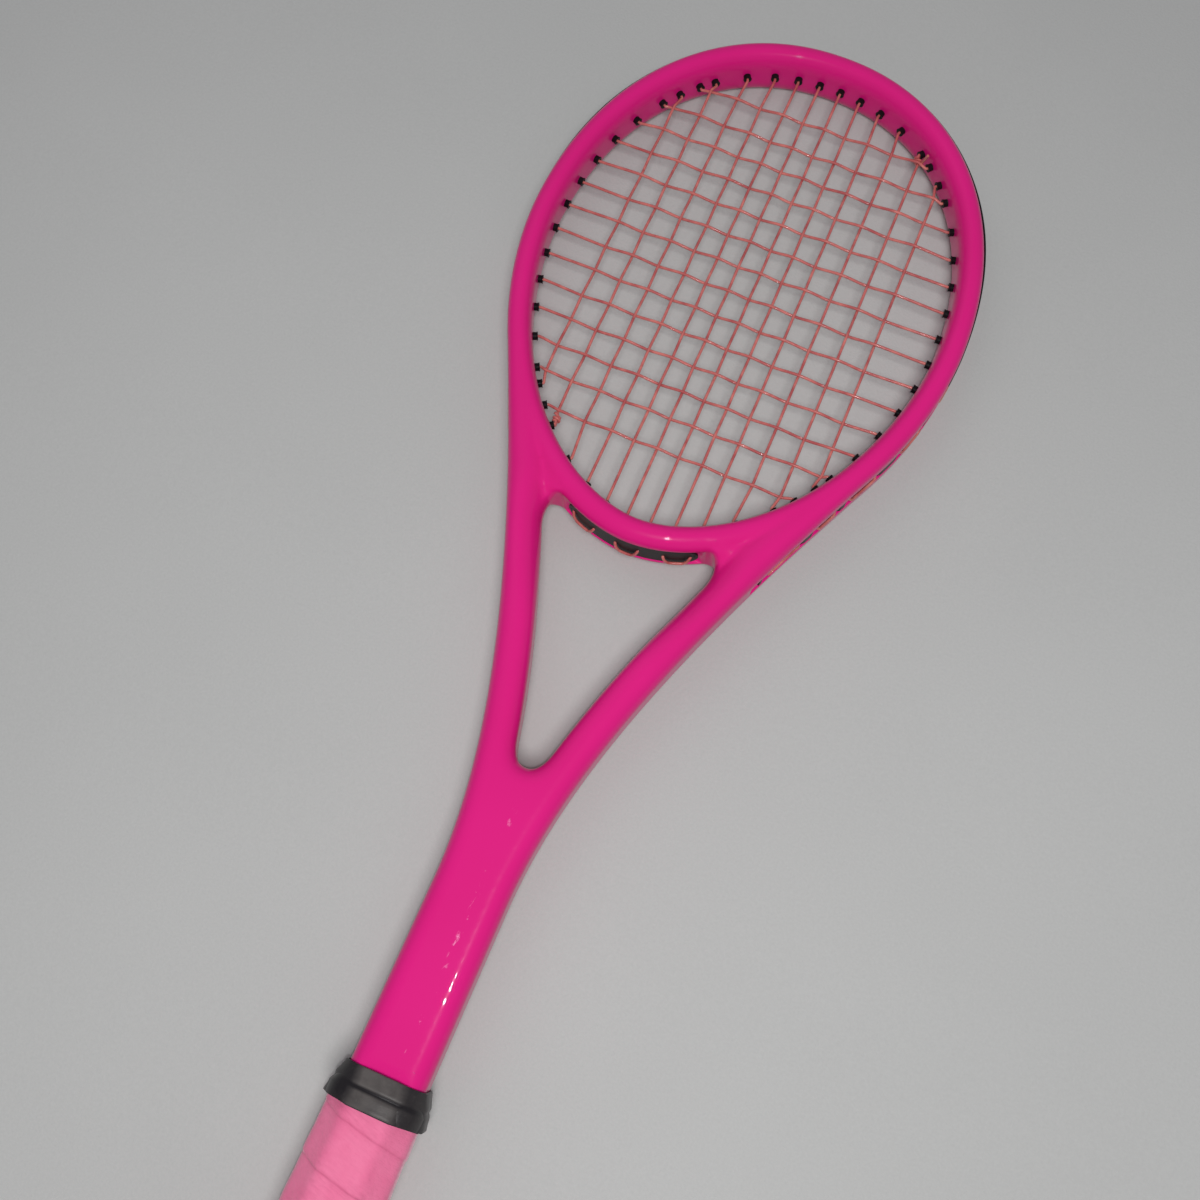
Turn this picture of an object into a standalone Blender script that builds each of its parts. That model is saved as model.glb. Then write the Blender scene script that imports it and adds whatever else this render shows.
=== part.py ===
"""Small-headed tennis training racket, lying flat, modelled as its separate pieces.

The racket's axis runs along +Y from the butt end to the head's tip, the strings lie in the
plane Z = 0, and the origin is the middle of the butt end. All sizes are in metres.
"""

import math

import bmesh
import bpy
import numpy as np
from mathutils import Matrix

mm = 0.001

# Driving dimensions of the moulded frame
LENGTH = 684.4 * mm          # butt end to the tip of the frame, under the bumper guard
HEAD_WIDTH = 195 * mm        # outside the hoop, string groove not counted
HOOP_WIDTH = 10.4 * mm       # the hoop's tube, seen from the front
BRIDGE_WIDTH = 10.6 * mm     # the bridge that closes the hoop over the throat
ARM_WIDTH = 14.4 * mm        # each arm of the throat
BEAM_HEIGHT = 24 * mm        # thickness of the frame, front face to back face
EDGE_RADIUS = 4.2 * mm       # rounding of the frame's long edges
EDGE_STEPS = 2
OPENING_STEPS = 60
HOOP_STEPS = 30
SHAFT_WIDTH = 29.2 * mm
STRING_AREA_LENGTH = 232.2 * mm   # inside the hoop, bridge to tip
WIDEST_BELOW_TIP = 109.8 * mm     # from the opening's top to its widest place
TOP_ROUNDNESS = 2.13         # exponent of the opening's upper half, 2 is an ellipse
BOTTOM_ROUNDNESS = 1.84      # exponent of its lower half
ARM_LEAVES_HOOP = 67 * mm    # the arm's outline leaves the hoop this far below the widest place
ARM_STRAIGHT_REACH = 115 * mm
SHAFT_STRAIGHT_REACH = 48 * mm
SHAFT_STRAIGHT_END = 282.5 * mm   # the shaft keeps one width from the grip up to here
CROTCH_RADIUS = 7.8 * mm     # half-width where the throat opening starts to close
CROTCH_DEPTH = 10.4 * mm
CORNER_DROP = 12 * mm        # height of the opening's rounded upper corners
HANDLE_CORE_WIDTH = 20 * mm
HANDLE_CORE_HEIGHT = 14 * mm
CORE_BORE_WIDTH = 6.6 * mm   # the two hollow chambers that end at the butt
CORE_BORE_HEIGHT = 9.6 * mm
CORE_BORE_DEPTH = 150 * mm
CORE_WALL_BETWEEN = 2 * mm
CHAMBER_CORNER = 2 * mm
SHOULDER_LENGTH = 7 * mm     # the shaft narrows to its handle core over this length

# String groove, grommets and strings
GROOVE_HEIGHT = 7.4 * mm
GROOVE_DEPTH = 2.4 * mm
GROOVE_SLOPE = 0.4 * mm      # the groove's sides lean in this far
GROOVE_RUN_OUT = 4 * mm
GROOVE_PAST = 5.4 * mm       # the side grooves end this far past their last hole
BUMPER_LAST_CROSS = 8        # the bumper guard ends halfway from this cross's holes to the next
STRIP_THICKNESS = 0.9 * mm
BUMPER_HEIGHT = 14 * mm
BUMPER_THICKNESS = 1.1 * mm
BUMPER_WEB = 0.45 * mm
STRIP_STEP = 8 * mm          # spacing of the sections along the strips
STRIP_END_GAP = 0.8 * mm
THROAT_RECESS_HEIGHT = 10.6 * mm
THROAT_STRIP_END = 3 * mm    # the throat strip runs this far past its last holes
THROAT_ARC_END = 1.2 * mm    # the bridge's arc runs this far past the strip's recess
THROAT_RECESS_DEPTH = 1.5 * mm
BARREL_RADIUS = 1.7 * mm
BARREL_BORE_RADIUS = 1.15 * mm
BARREL_REACH = 1.9 * mm      # how far a barrel stands out inside the hoop
BARREL_SIDES = 6
LINE_SHARE = 0.3             # share of the way to the barrel's mouth where a string's line runs
MOUTH_GAP = 0.8 * mm         # a string turns this far from its barrel's end
STRING_DIAMETER = 1.25 * mm
STRING_SIDES = 5
WEAVE_GAP = 0.65 * mm        # daylight between two strings where they cross
STRING_LOOP_GAP = 0.4 * mm   # daylight between a loop and the strip under it
MAIN_SHARES = (0.0574, 0.1722, 0.2928, 0.4271, 0.5695, 0.7107)  # of the opening's half-width
BRIDGE_MAINS = 3             # this many mains on each side of the axis end in the bridge
CROSS_COUNT = 14
CROSS_END_SHARE = 1.14       # the first and the last space between crosses, in usual spaces
TOP_CROSS_SHARE = 0.79       # of the way from the widest place to the opening's top
BOTTOM_CROSS_SHARE = 0.717   # of the way from the widest place to the opening's bottom
LOOP_TURN = 0.9 * mm         # a string turns into its loop over this length
LOOP_RISE = 2.4 * mm
LOOP_STEP = 7 * mm
LOOP_LIFT = 1.7 * mm         # loops of mains and crosses pass each other in the groove
KNOT_TURNS = 0.75
KNOT_STEPS = 8
KNOT_SHARE = 0.27            # a knot starts this far from its hole to the next crossing
TAIL_LENGTH = 4 * mm

# Handle
PALLET_WIDTH = 29.2 * mm
PALLET_HEIGHT = 25.4 * mm
PALLET_BEVEL = 8 * mm        # cut of each corner that makes the handle eight-sided
PALLET_LENGTH = 201.8 * mm
POCKET_BEVEL = 2.1 * mm      # cut of the corners of the pocket for the frame's core
BASE_GRIP_THICKNESS = 1.5 * mm
BASE_GRIP_PITCH = 21 * mm
OVERGRIP_THICKNESS = 0.6 * mm
OVERGRIP_PITCH = 18 * mm
GRIP_SEAM_GAP = 0.6 * mm
GRIP_START = 9.2 * mm
GRIP_SETBACK = 0.5 * mm      # the wound grips end this far below the pallets' ends
MIN_GRIP_END = 1.2 * mm
COLLAR_HEIGHT = 12.8 * mm
COLLAR_OVERLAP = 3.5 * mm    # the collar covers this much of the grip
NECK_SHARE = 0.985           # height of the shaft under the collar, as a share of the beam
FACE_SETBACK = 0.5 * mm      # the shaft's full height starts this far above the collar
COLLAR_WALL = 0.8 * mm
COLLAR_CORNER = 10 * mm
TAPE_WIDTH = 4 * mm
TAPE_THICKNESS = 0.15 * mm
BUTT_CAP_WIDTH = 39 * mm
BUTT_CAP_HEIGHT = 35 * mm
BUTT_CAP_CORNER = 12.5 * mm
BUTT_CAP_FLANGE = 5 * mm
BUTT_CAP_SLEEVE = 26 * mm
BUTT_CAP_WALL = 1.3 * mm
DOOR_WIDTH = 21 * mm
DOOR_HEIGHT = 16 * mm
DOOR_THICKNESS = 1.6 * mm
DOOR_PLUG_DEPTH = 7 * mm
DOOR_LEDGE = 2.2 * mm
DOOR_CORNER = 4 * mm
STAPLE_FROM_END = 16 * mm    # the two staples through the cap's sleeve, from the butt end
STAPLE_SPAN = 9 * mm         # one leg goes into each pallet half
STAPLE_WIRE = 0.5 * mm
STAPLE_WIDTH = 1.2 * mm
STAPLE_LEG = 2.8 * mm
STAPLE_GAP = 0.2 * mm        # round a staple in its recess and its holes
FOAM_START = 12 * mm
FOAM_LENGTH = 30 * mm
BUTT_END_WALL = 3.2 * mm

CLEARANCE = 0.3 * mm         # between two pieces that touch
TINY = 1e-6

# Places worked out from the driving dimensions
HEAD_CENTRE = LENGTH - HOOP_WIDTH - WIDEST_BELOW_TIP
OPENING_HALF = HEAD_WIDTH / 2 - HOOP_WIDTH
OPENING_BOTTOM = STRING_AREA_LENGTH - WIDEST_BELOW_TIP
PALLET_START = BUTT_END_WALL + CLEARANCE
PALLET_END = PALLET_START + PALLET_LENGTH
CORE_START = DOOR_PLUG_DEPTH + 1.5 * CLEARANCE
CORE_SHOULDER = PALLET_END + SHOULDER_LENGTH
FRAME_EDGE = min(EDGE_RADIUS, 0.45 * HOOP_WIDTH, 0.4 * BEAM_HEIGHT)
LOOP_LEVEL = CLEARANCE + STRIP_THICKNESS + STRING_LOOP_GAP + STRING_DIAMETER / 2
STRING_OFFSET = (STRING_DIAMETER + WEAVE_GAP) / 2
HOLE_RADIUS = BARREL_RADIUS + CLEARANCE / math.cos(math.pi / BARREL_SIDES)
BASE_GRIP_OFFSET = CLEARANCE
OVERGRIP_OFFSET = BASE_GRIP_OFFSET + BASE_GRIP_THICKNESS + CLEARANCE
TAPE_OFFSET = OVERGRIP_OFFSET + OVERGRIP_THICKNESS + CLEARANCE
COLLAR_OFFSET = TAPE_OFFSET + TAPE_THICKNESS + CLEARANCE
GRIP_END = PALLET_END - GRIP_SETBACK
COLLAR_BOTTOM = GRIP_END - COLLAR_OVERLAP
FACE_END = COLLAR_BOTTOM + COLLAR_HEIGHT + FACE_SETBACK
STAPLE_FACE = PALLET_WIDTH / 2 - STAPLE_GAP
THROAT_STRIP_HALF = MAIN_SHARES[BRIDGE_MAINS - 1] * OPENING_HALF + THROAT_STRIP_END
THROAT_RECESS_HALF = THROAT_STRIP_HALF + 1.5 * CLEARANCE
BRIDGE_ARC_HALF = THROAT_RECESS_HALF + THROAT_ARC_END

# Colour, roughness and metallic value of each finish
PINK_LACQUER = ((0.72, 0.02, 0.22), 0.18, 0.0)
BLACK_NYLON = ((0.018, 0.018, 0.02), 0.45, 0.0)
ROSE_STRING = ((0.62, 0.24, 0.2), 0.3, 0.35)
PINK_OVERGRIP = ((0.86, 0.22, 0.38), 0.6, 0.0)
BLACK_LEATHER = ((0.03, 0.03, 0.03), 0.7, 0.0)
GREY_FOAM = ((0.3, 0.3, 0.28), 0.85, 0.0)
BLACK_RUBBER = ((0.025, 0.024, 0.026), 0.55, 0.0)
STEEL_WIRE = ((0.6, 0.6, 0.62), 0.3, 1.0)


def clear_scene():
    """Remove whatever the file held before."""
    for obj in list(bpy.data.objects):
        bpy.data.objects.remove(obj, do_unlink=True)


def material(name, finish):
    """Principled material from a colour, a roughness and a metallic value."""
    colour, roughness, metallic = finish
    made = bpy.data.materials.new(name)
    made.use_nodes = True
    shader = made.node_tree.nodes["Principled BSDF"]
    shader.inputs["Base Color"].default_value = (*colour, 1.0)
    shader.inputs["Roughness"].default_value = roughness
    shader.inputs["Metallic"].default_value = metallic
    made.diffuse_color = (*colour, 1.0)
    return made


def add_piece(name, mesh, finish):
    """Put a mesh in the scene as one named piece."""
    mesh.name = name
    mesh.materials.clear()
    mesh.materials.append(material(name, finish))
    mesh.shade_smooth()
    mesh.set_sharp_from_angle(angle=math.radians(35))
    piece = bpy.data.objects.new(name, mesh)
    bpy.context.collection.objects.link(piece)
    return piece


def skin(rings, wrap=False):
    """Mesh through rings of equal size: capped at both ends, or wrapped round on itself."""
    shape = bmesh.new()
    loops = [[shape.verts.new(point) for point in ring] for ring in rings]
    pairs = list(zip(loops, loops[1:]))
    if wrap:
        pairs.append((loops[-1], loops[0]))
    for lower, upper in pairs:
        for i, corner in enumerate(lower):
            j = (i + 1) % len(lower)
            shape.faces.new((corner, lower[j], upper[j], upper[i]))
    if not wrap:
        shape.faces.new(list(reversed(loops[0])))
        shape.faces.new(loops[-1])
    bmesh.ops.remove_doubles(shape, verts=shape.verts, dist=TINY)
    bmesh.ops.dissolve_degenerate(shape, dist=TINY, edges=shape.edges)
    bmesh.ops.recalc_face_normals(shape, faces=shape.faces)
    mesh = bpy.data.meshes.new("skin")
    shape.to_mesh(mesh)
    shape.free()
    return mesh


def joined(meshes):
    """Several closed meshes as one mesh."""
    shape = bmesh.new()
    for mesh in meshes:
        shape.from_mesh(mesh)
    result = bpy.data.meshes.new("joined")
    shape.to_mesh(result)
    shape.free()
    return result


def combine(mesh, tools, operation):
    """Add the tool meshes to a mesh, or cut them out of it."""
    body = bpy.data.objects.new("body", mesh)
    tool = bpy.data.objects.new("tool", joined(tools))
    for obj in (body, tool):
        bpy.context.collection.objects.link(obj)
    modifier = body.modifiers.new("combine", "BOOLEAN")
    modifier.object = tool
    modifier.operation = operation
    graph = bpy.context.evaluated_depsgraph_get()
    result = bpy.data.meshes.new_from_object(body.evaluated_get(graph))
    bpy.data.objects.remove(body)
    bpy.data.objects.remove(tool)
    return result


def unit(vector):
    """The vector at length one."""
    return vector / np.linalg.norm(vector)


def bezier(start, lead, trail, end, count):
    """Points along a cubic curve, both ends included."""
    t = np.linspace(0, 1, count)[:, None]
    return (start * (1 - t) ** 3 + lead * 3 * t * (1 - t) ** 2
            + trail * 3 * t ** 2 * (1 - t) + end * t ** 3)


def opening_point(angle):
    """Point on the string opening's outline and its normal, pointing into the hoop."""
    cos, sin = math.cos(angle), math.sin(angle)
    power, reach = TOP_ROUNDNESS, WIDEST_BELOW_TIP
    if sin < 0:
        power, reach = BOTTOM_ROUNDNESS, OPENING_BOTTOM
    x = math.copysign(abs(cos) ** (2 / power), cos)
    y = math.copysign(abs(sin) ** (2 / power), sin)
    slope_x = math.copysign(abs(x) ** (power - 1), x) / OPENING_HALF
    slope_y = math.copysign(abs(y) ** (power - 1), y) / reach
    point = np.array((x * OPENING_HALF, HEAD_CENTRE + y * reach))
    return point, unit(np.array((slope_x, slope_y)))


def offset_opening(angle, distance):
    """Point at a distance outside the string opening, or inside it if negative."""
    point, normal = opening_point(angle)
    return point + normal * distance


def solve(function, low, high):
    """Root of a function that changes sign between low and high."""
    rising = function(high) > function(low)
    for _ in range(60):
        middle = (low + high) / 2
        if (function(middle) > 0) == rising:
            high = middle
        else:
            low = middle
    return (low + high) / 2


class Path:
    """Flat curve measured along its length, with a normal to its left or right."""

    def __init__(self, points, side):
        self.points = np.array(points)
        self.side = side
        steps = np.linalg.norm(np.diff(self.points, axis=0), axis=1)
        self.lengths = np.concatenate(((0.0,), np.cumsum(steps)))
        self.length = self.lengths[-1]

    def point(self, s):
        """Point at distance s from the start."""
        return np.array([np.interp(s, self.lengths, self.points[:, k]) for k in (0, 1)])

    def normal(self, s):
        """Outward normal at distance s."""
        reach = 1.5 * mm
        low, high = max(0.0, s - reach), min(self.length, s + reach)
        along = unit(self.point(high) - self.point(low))
        return self.side * np.array((-along[1], along[0]))


def right_outline():
    """Outside of the frame from the tip down the right side to the shaft."""
    leave_y = HEAD_CENTRE - ARM_LEAVES_HOOP
    leave = solve(lambda a: offset_opening(a, HOOP_WIDTH)[1] - leave_y, -1.2, 0.5)
    angles = np.linspace(math.pi / 2, leave, 200)
    hoop = [offset_opening(angle, HOOP_WIDTH) for angle in angles]
    normal = opening_point(leave)[1]
    down = np.array((normal[1], -normal[0]))
    shaft = np.array((SHAFT_WIDTH / 2, SHAFT_STRAIGHT_END))
    arm = bezier(hoop[-1], hoop[-1] + down * ARM_STRAIGHT_REACH,
                 shaft + np.array((0, SHAFT_STRAIGHT_REACH)), shaft, 160)
    return Path(hoop + list(arm[1:]), 1), len(hoop) - 1


RIM, LEAVE_INDEX = right_outline()
ARM_START = RIM.lengths[LEAVE_INDEX]


def rim_at(s):
    """Point and outward normal of the frame's outside; s grows down the right side."""
    point, normal = RIM.point(abs(s)), RIM.normal(abs(s))
    if s < 0:
        point, normal = point * (-1, 1), normal * (-1, 1)
    return point, normal


def bridge_at(x):
    """Point and outward normal of the bridge's throat side at a distance from the axis."""
    angle = solve(lambda a: offset_opening(a, BRIDGE_WIDTH)[0] - x, -math.pi * 0.85, -math.pi * 0.15)
    return offset_opening(angle, BRIDGE_WIDTH), opening_point(angle)[1]


def throat_outline():
    """Right half of the throat opening, from the middle of the bridge to the crotch."""
    bridge = [bridge_at(x)[0] for x in (*np.linspace(0, THROAT_RECESS_HALF, 6), BRIDGE_ARC_HALF)]
    normal = bridge_at(BRIDGE_ARC_HALF)[1]
    along = np.array((-normal[1], normal[0]))
    side_top = bridge[-1][1] - CORNER_DROP
    side = []
    for s in np.linspace(ARM_START, RIM.length, 200):
        point = RIM.point(s) - RIM.normal(s) * ARM_WIDTH
        if point[1] <= side_top and point[0] >= CROTCH_RADIUS:
            side.append(point)
    sides = Path(side, 1)
    side = [sides.point(s) for s in np.linspace(0, sides.length, 9)]
    rise = unit(side[0] - side[1])
    fall = unit(side[-1] - side[-2])
    corner = bezier(bridge[-1], bridge[-1] + along * CORNER_DROP * 0.56,
                    side[0] + rise * CORNER_DROP * 0.72, side[0], 6)
    bottom = np.array((0.0, side[-1][1] - CROTCH_DEPTH))
    crotch = bezier(side[-1], side[-1] + fall * CROTCH_DEPTH * 0.62,
                    bottom + np.array((CROTCH_RADIUS * 0.56, 0)), bottom, 5)
    return bridge + list(corner[1:-1]) + side + list(crotch[1:])


def even_opening(count):
    """Points spaced evenly round the string opening."""
    fine = [opening_point(angle)[0] for angle in np.linspace(0, 2 * math.pi, 1441)]
    path = Path(fine, 1)
    return [path.point(path.length * k / count) for k in range(count)]


def mirrored(half):
    """Closed outline from its right half, which runs from one end of the axis to the other."""
    left = [point * (-1, 1) for point in reversed(half) if abs(point[0]) > TINY]
    return half + left


def inward(points, sign):
    """Mitred normals of a closed outline, to the left of its run if sign is +1."""
    normals = []
    for i, point in enumerate(points):
        before = unit(point - points[i - 1])
        after = unit(points[(i + 1) % len(points)] - point)
        turn = unit(before + after)
        normals.append(sign * np.array((-turn[1], turn[0])) / max(0.6, float(np.dot(turn, before))))
    return normals


def groove_stop(holes):
    """Distance along the rim at which the side grooves end."""
    return max(hole.along for hole in holes.values() if hole.place == "rim") + GROOVE_PAST


def bumper_stop(holes):
    """Distance along the rim at which the bumper guard ends."""
    last, following = (holes["cross", BUMPER_LAST_CROSS + k, "right"] for k in (0, 1))
    return (last.along + following.along) / 2


def frame_outline(groove_end):
    """Closed outside of the frame with the groove's depth at each point."""
    hoop = list(np.linspace(0, ARM_START, HOOP_STEPS))
    arm = list(np.linspace(ARM_START, RIM.length, 15))[1:]
    stops = (groove_end, groove_end + GROOVE_RUN_OUT)
    spots = [s for s in hoop + arm if min(abs(s - stop) for stop in stops) > 2 * mm]
    spots = sorted(spots + list(stops))
    half = [RIM.point(s) for s in spots]
    depths = [GROOVE_DEPTH if s <= groove_end + TINY else 0.0 for s in spots]
    core = HANDLE_CORE_WIDTH / 2
    wide = SHAFT_WIDTH / 2
    for x, y in ((wide, FACE_END), (wide, CORE_SHOULDER), (core, PALLET_END), (core, CORE_START)):
        half.append(np.array((x, y)))
        depths.append(0.0)
    return mirrored(half), depths + depths[:0:-1]


def beam_share(y):
    """Height of the frame at y as a share of the beam: less in the handle and under the collar."""
    core = HANDLE_CORE_HEIGHT / BEAM_HEIGHT
    return float(np.interp(y, (PALLET_END, CORE_SHOULDER, FACE_END), (core, NECK_SHARE, 1.0)))


def wall_profile(channel_height, slope):
    """Insets and heights of a wall from front to back; 'True' marks the channel's floor."""
    edge = BEAM_HEIGHT / 2 - FRAME_EDGE
    front = []
    for step in range(EDGE_STEPS + 1):
        angle = math.pi / 2 * step / EDGE_STEPS
        front.append((FRAME_EDGE * (1 - math.sin(angle)), edge + FRAME_EDGE * math.cos(angle), False))
    if channel_height:
        front.append((0.0, channel_height / 2, False))
        front.append((0.0, channel_height / 2 - slope, True))
    return front + [(inset, -height, floor) for inset, height, floor in reversed(front)]


def wall_rings(points, normals, profile, depths):
    """Rings of a wall: the outline at each inset and height of its profile."""
    rings = []
    for inset, height, floor in profile:
        ring = []
        for point, normal, depth in zip(points, normals, depths):
            spot = point + normal * (inset + (depth if floor else 0.0))
            ring.append((spot[0], spot[1], height * beam_share(point[1])))
        rings.append(ring)
    return rings


def frame_mesh(holes):
    """The moulded frame: hoop, bridge, throat arms, shaft and handle core in one piece."""
    outline, depths = frame_outline(groove_stop(holes))
    opening = even_opening(OPENING_STEPS)
    throat = mirrored(throat_outline())
    lowest = HEAD_CENTRE - OPENING_BOTTOM - BRIDGE_WIDTH
    recess = [THROAT_RECESS_DEPTH if abs(p[0]) < THROAT_RECESS_HALF + TINY and p[1] > lowest - TINY
              else 0.0 for p in throat]
    walls = (
        (outline, inward(outline, -1), wall_profile(GROOVE_HEIGHT, GROOVE_SLOPE), depths),
        (opening, inward(opening, -1), wall_profile(0, 0), [0.0] * len(opening)),
        (throat, inward(throat, 1), wall_profile(THROAT_RECESS_HEIGHT, GROOVE_SLOPE), recess),
    )
    shape = bmesh.new()
    edges = {"front": [], "back": []}
    for points, normals, profile, deep in walls:
        loops = [[shape.verts.new(p) for p in ring] for ring in wall_rings(points, normals, profile, deep)]
        for upper, lower in zip(loops, loops[1:]):
            for i, corner in enumerate(upper):
                j = (i + 1) % len(upper)
                shape.faces.new((corner, upper[j], lower[j], lower[i]))
        for face, loop in (("front", loops[0]), ("back", loops[-1])):
            for i, corner in enumerate(loop):
                edges[face].append(shape.edges.get((corner, loop[(i + 1) % len(loop)])))
    for face in edges.values():
        bmesh.ops.triangle_fill(shape, edges=face, use_beauty=True)
    bmesh.ops.recalc_face_normals(shape, faces=shape.faces)
    mesh = bpy.data.meshes.new("frame")
    shape.to_mesh(mesh)
    shape.free()
    return combine(mesh, [hole.drill() for hole in holes.values()] + core_chambers(), "DIFFERENCE")


def corner_loop(width, height, corner, steps, y, shift=0.0, arced=True):
    """Rectangle with arced or flat-cut corners, square to the racket's axis."""
    loop = []
    for k, (sx, sz) in enumerate(((1, 1), (-1, 1), (-1, -1), (1, -1))):
        first, last = math.pi / 2 * k, math.pi / 2 * (k + 1)
        for step in range(steps + 1):
            share = step / steps
            angle = first + (last - first) * share
            across, up = math.cos(angle), math.sin(angle)
            if not arced:
                across = math.cos(first) * (1 - share) + math.cos(last) * share
                up = math.sin(first) * (1 - share) + math.sin(last) * share
            x = sx * (width / 2 - corner) + corner * across
            z = sz * (height / 2 - corner) + corner * up
            loop.append((x + shift, y, z))
    return loop


def core_chambers():
    """The two hollow chambers of the handle core, open at the butt end."""
    shift = (CORE_BORE_WIDTH + CORE_WALL_BETWEEN) / 2
    return [skin([corner_loop(CORE_BORE_WIDTH, CORE_BORE_HEIGHT, CHAMBER_CORNER, 1, y, side * shift)
                  for y in (CORE_START - 1 * mm, CORE_BORE_DEPTH)]) for side in (-1, 1)]


class Hole:
    """One string hole: where the string leaves the opening and where it comes out."""

    def __init__(self, pull, value, low, high, place="rim", tie_off=False):
        self.place = place
        self.tie_off = tie_off
        inside = BARREL_REACH + MOUTH_GAP
        pull = np.array(pull)
        self.axis = pull
        level = 0 if pull[1] else 1
        for _ in range(5):
            def miss(angle, axis=self.axis):
                return (opening_point(angle)[0] - axis * inside * LINE_SHARE)[level] - value
            self.wall, normal = opening_point(solve(miss, low, high))
            if place == "bridge":
                break
            self.along = self.exit_along()
            self.axis = unit(normal + rim_at(self.along)[1])
        if place == "bridge":
            self.along = self.wall[0]
            self.depth = THROAT_RECESS_DEPTH
            outer, outward = bridge_at(self.along)
        else:
            self.along = self.exit_along()
            self.depth = GROOVE_DEPTH
            outer, outward = rim_at(self.along)
        self.slant = float(np.dot(outward, self.axis))
        self.outer = outer
        self.floor = outer - self.axis * self.depth / self.slant
        self.mouth = self.wall - self.axis * inside

    def exit_along(self):
        """Distance along the rim at which the hole's axis comes out."""
        across = np.array((-self.axis[1], self.axis[0]))
        side = 1 if self.wall[0] > 0 else -1

        def miss(s):
            return float(np.dot(rim_at(side * s)[0] - self.wall, across))

        spots = np.linspace(0, RIM.length, 90)
        best = min(spots, key=lambda s: abs(miss(s)) + np.linalg.norm(rim_at(side * s)[0] - self.wall) / 4)
        return side * solve(miss, max(0.0, best - 12 * mm), best + 12 * mm)

    def prism(self, radius, start, end):
        """Six-sided bar from start to end; a tie-off hole's is taller, for two strings."""
        across = np.array((-self.axis[1], self.axis[0]))
        stretch = STRING_OFFSET if self.tie_off else 0.0
        rings = []
        for point in (start, end):
            ring = []
            for k in range(BARREL_SIDES):
                angle = 2 * math.pi * k / BARREL_SIDES + math.pi / 2
                spot = point + across * radius * math.cos(angle)
                height = radius * math.sin(angle)
                ring.append((spot[0], spot[1], height + math.copysign(stretch, height)))
            rings.append(ring)
        return skin(rings)

    def drill(self):
        """Cutter for the hole through the frame."""
        return self.prism(HOLE_RADIUS, self.wall - self.axis * 4 * mm, self.outer + self.axis * 3 * mm)

    def barrel(self):
        """The grommet's barrel, rooted in its strip."""
        root = self.floor + self.axis * (CLEARANCE + STRIP_THICKNESS / 2) / self.slant
        return self.prism(BARREL_RADIUS, self.wall - self.axis * BARREL_REACH, root)

    def bore(self):
        """Cutter for the barrel's bore."""
        start = self.wall - self.axis * (BARREL_REACH + MOUTH_GAP)
        end = self.floor + self.axis * (CLEARANCE + 2 * STRIP_THICKNESS) / self.slant
        return self.prism(BARREL_BORE_RADIUS, start, end)

    def crest(self):
        """Where the string turns from the hole into its loop."""
        return self.floor + self.axis * LOOP_LEVEL / self.slant


def main_places():
    """Distances of the mains from the axis, left to right."""
    right = [share * OPENING_HALF for share in MAIN_SHARES]
    return [-x for x in reversed(right)] + right


def cross_places():
    """Heights of the crosses along the racket, from the tip down."""
    spaces = [CROSS_END_SHARE] + [1.0] * (CROSS_COUNT - 3) + [CROSS_END_SHARE]
    reach = TOP_CROSS_SHARE * WIDEST_BELOW_TIP + BOTTOM_CROSS_SHARE * OPENING_BOTTOM
    pitch = reach / sum(spaces)
    heights = [HEAD_CENTRE + TOP_CROSS_SHARE * WIDEST_BELOW_TIP]
    for space in spaces:
        heights.append(heights[-1] - space * pitch)
    return heights


def string_holes():
    """Every hole in the frame, by kind, number and end."""
    holes = {}
    mains, crosses = main_places(), cross_places()
    quarter = math.pi / 2
    for number, x in enumerate(mains, 1):
        outer = quarter - math.copysign(quarter * 0.98, x)
        tied = number == len(mains) - 1
        place = "bridge" if abs(number - len(mains) / 2 - 0.5) < BRIDGE_MAINS else "rim"
        holes["main", number, "top"] = Hole((0.0, 1.0), x, quarter, outer, tie_off=tied)
        holes["main", number, "bottom"] = Hole((0.0, -1.0), x, -quarter, -outer, place, number == 2)
    for number, y in enumerate(crosses, 1):
        reach = quarter * 0.9
        holes["cross", number, "right"] = Hole((1.0, 0.0), y, -reach, reach)
        holes["cross", number, "left"] = Hole((-1.0, 0.0), y, math.pi - reach, math.pi + reach)
    return holes


def loop_points(first, last, z_first, z_last, lift):
    """String points outside the frame, from one hole's crest to another's."""
    edge = bridge_at if first.place == "bridge" else rim_at
    depth = first.depth - LOOP_LEVEL
    run = 1 if last.along > first.along else -1
    span = abs(last.along - first.along)
    inner = np.linspace(LOOP_RISE, span - LOOP_RISE, max(2, int(span / LOOP_STEP) + 1))
    spots = [(LOOP_TURN, (z_first + lift) / 2)]
    spots += [(s, lift) for s in inner]
    spots += [(span - LOOP_TURN, (z_last + lift) / 2)]
    points = []
    for s, z in spots:
        point, normal = edge(first.along + run * s)
        spot = point - normal * depth
        points.append((spot[0], spot[1], z))
    return points


def through(hole, z):
    """String points from a hole's mouth to just under its crest."""
    crest = hole.crest() - hole.axis * LOOP_TURN
    return [(hole.mouth[0], hole.mouth[1], z), (crest[0], crest[1], z)]


def knot_points(hole, crossing, main_z, into):
    """Tail of the string, hitched round its anchor main between the hole and a crossing."""
    x, y = hole.mouth
    room = abs(crossing[1] - y)
    drift = (crossing[0] - x) / room
    reach = STRING_DIAMETER + WEAVE_GAP
    points = []
    for k in range(KNOT_STEPS + 1):
        turn = KNOT_TURNS * k / KNOT_STEPS
        angle = math.pi / 2 + 2 * math.pi * turn
        down = KNOT_SHARE * room + reach * turn
        points.append((x + drift * down + reach * math.cos(angle), y + into * down,
                       main_z + reach * math.sin(angle)))
    end = points[-1]
    points.append((end[0] + TAIL_LENGTH * 0.5, end[1] + into * TAIL_LENGTH * 0.1, end[2] + TAIL_LENGTH))
    return points


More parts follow.
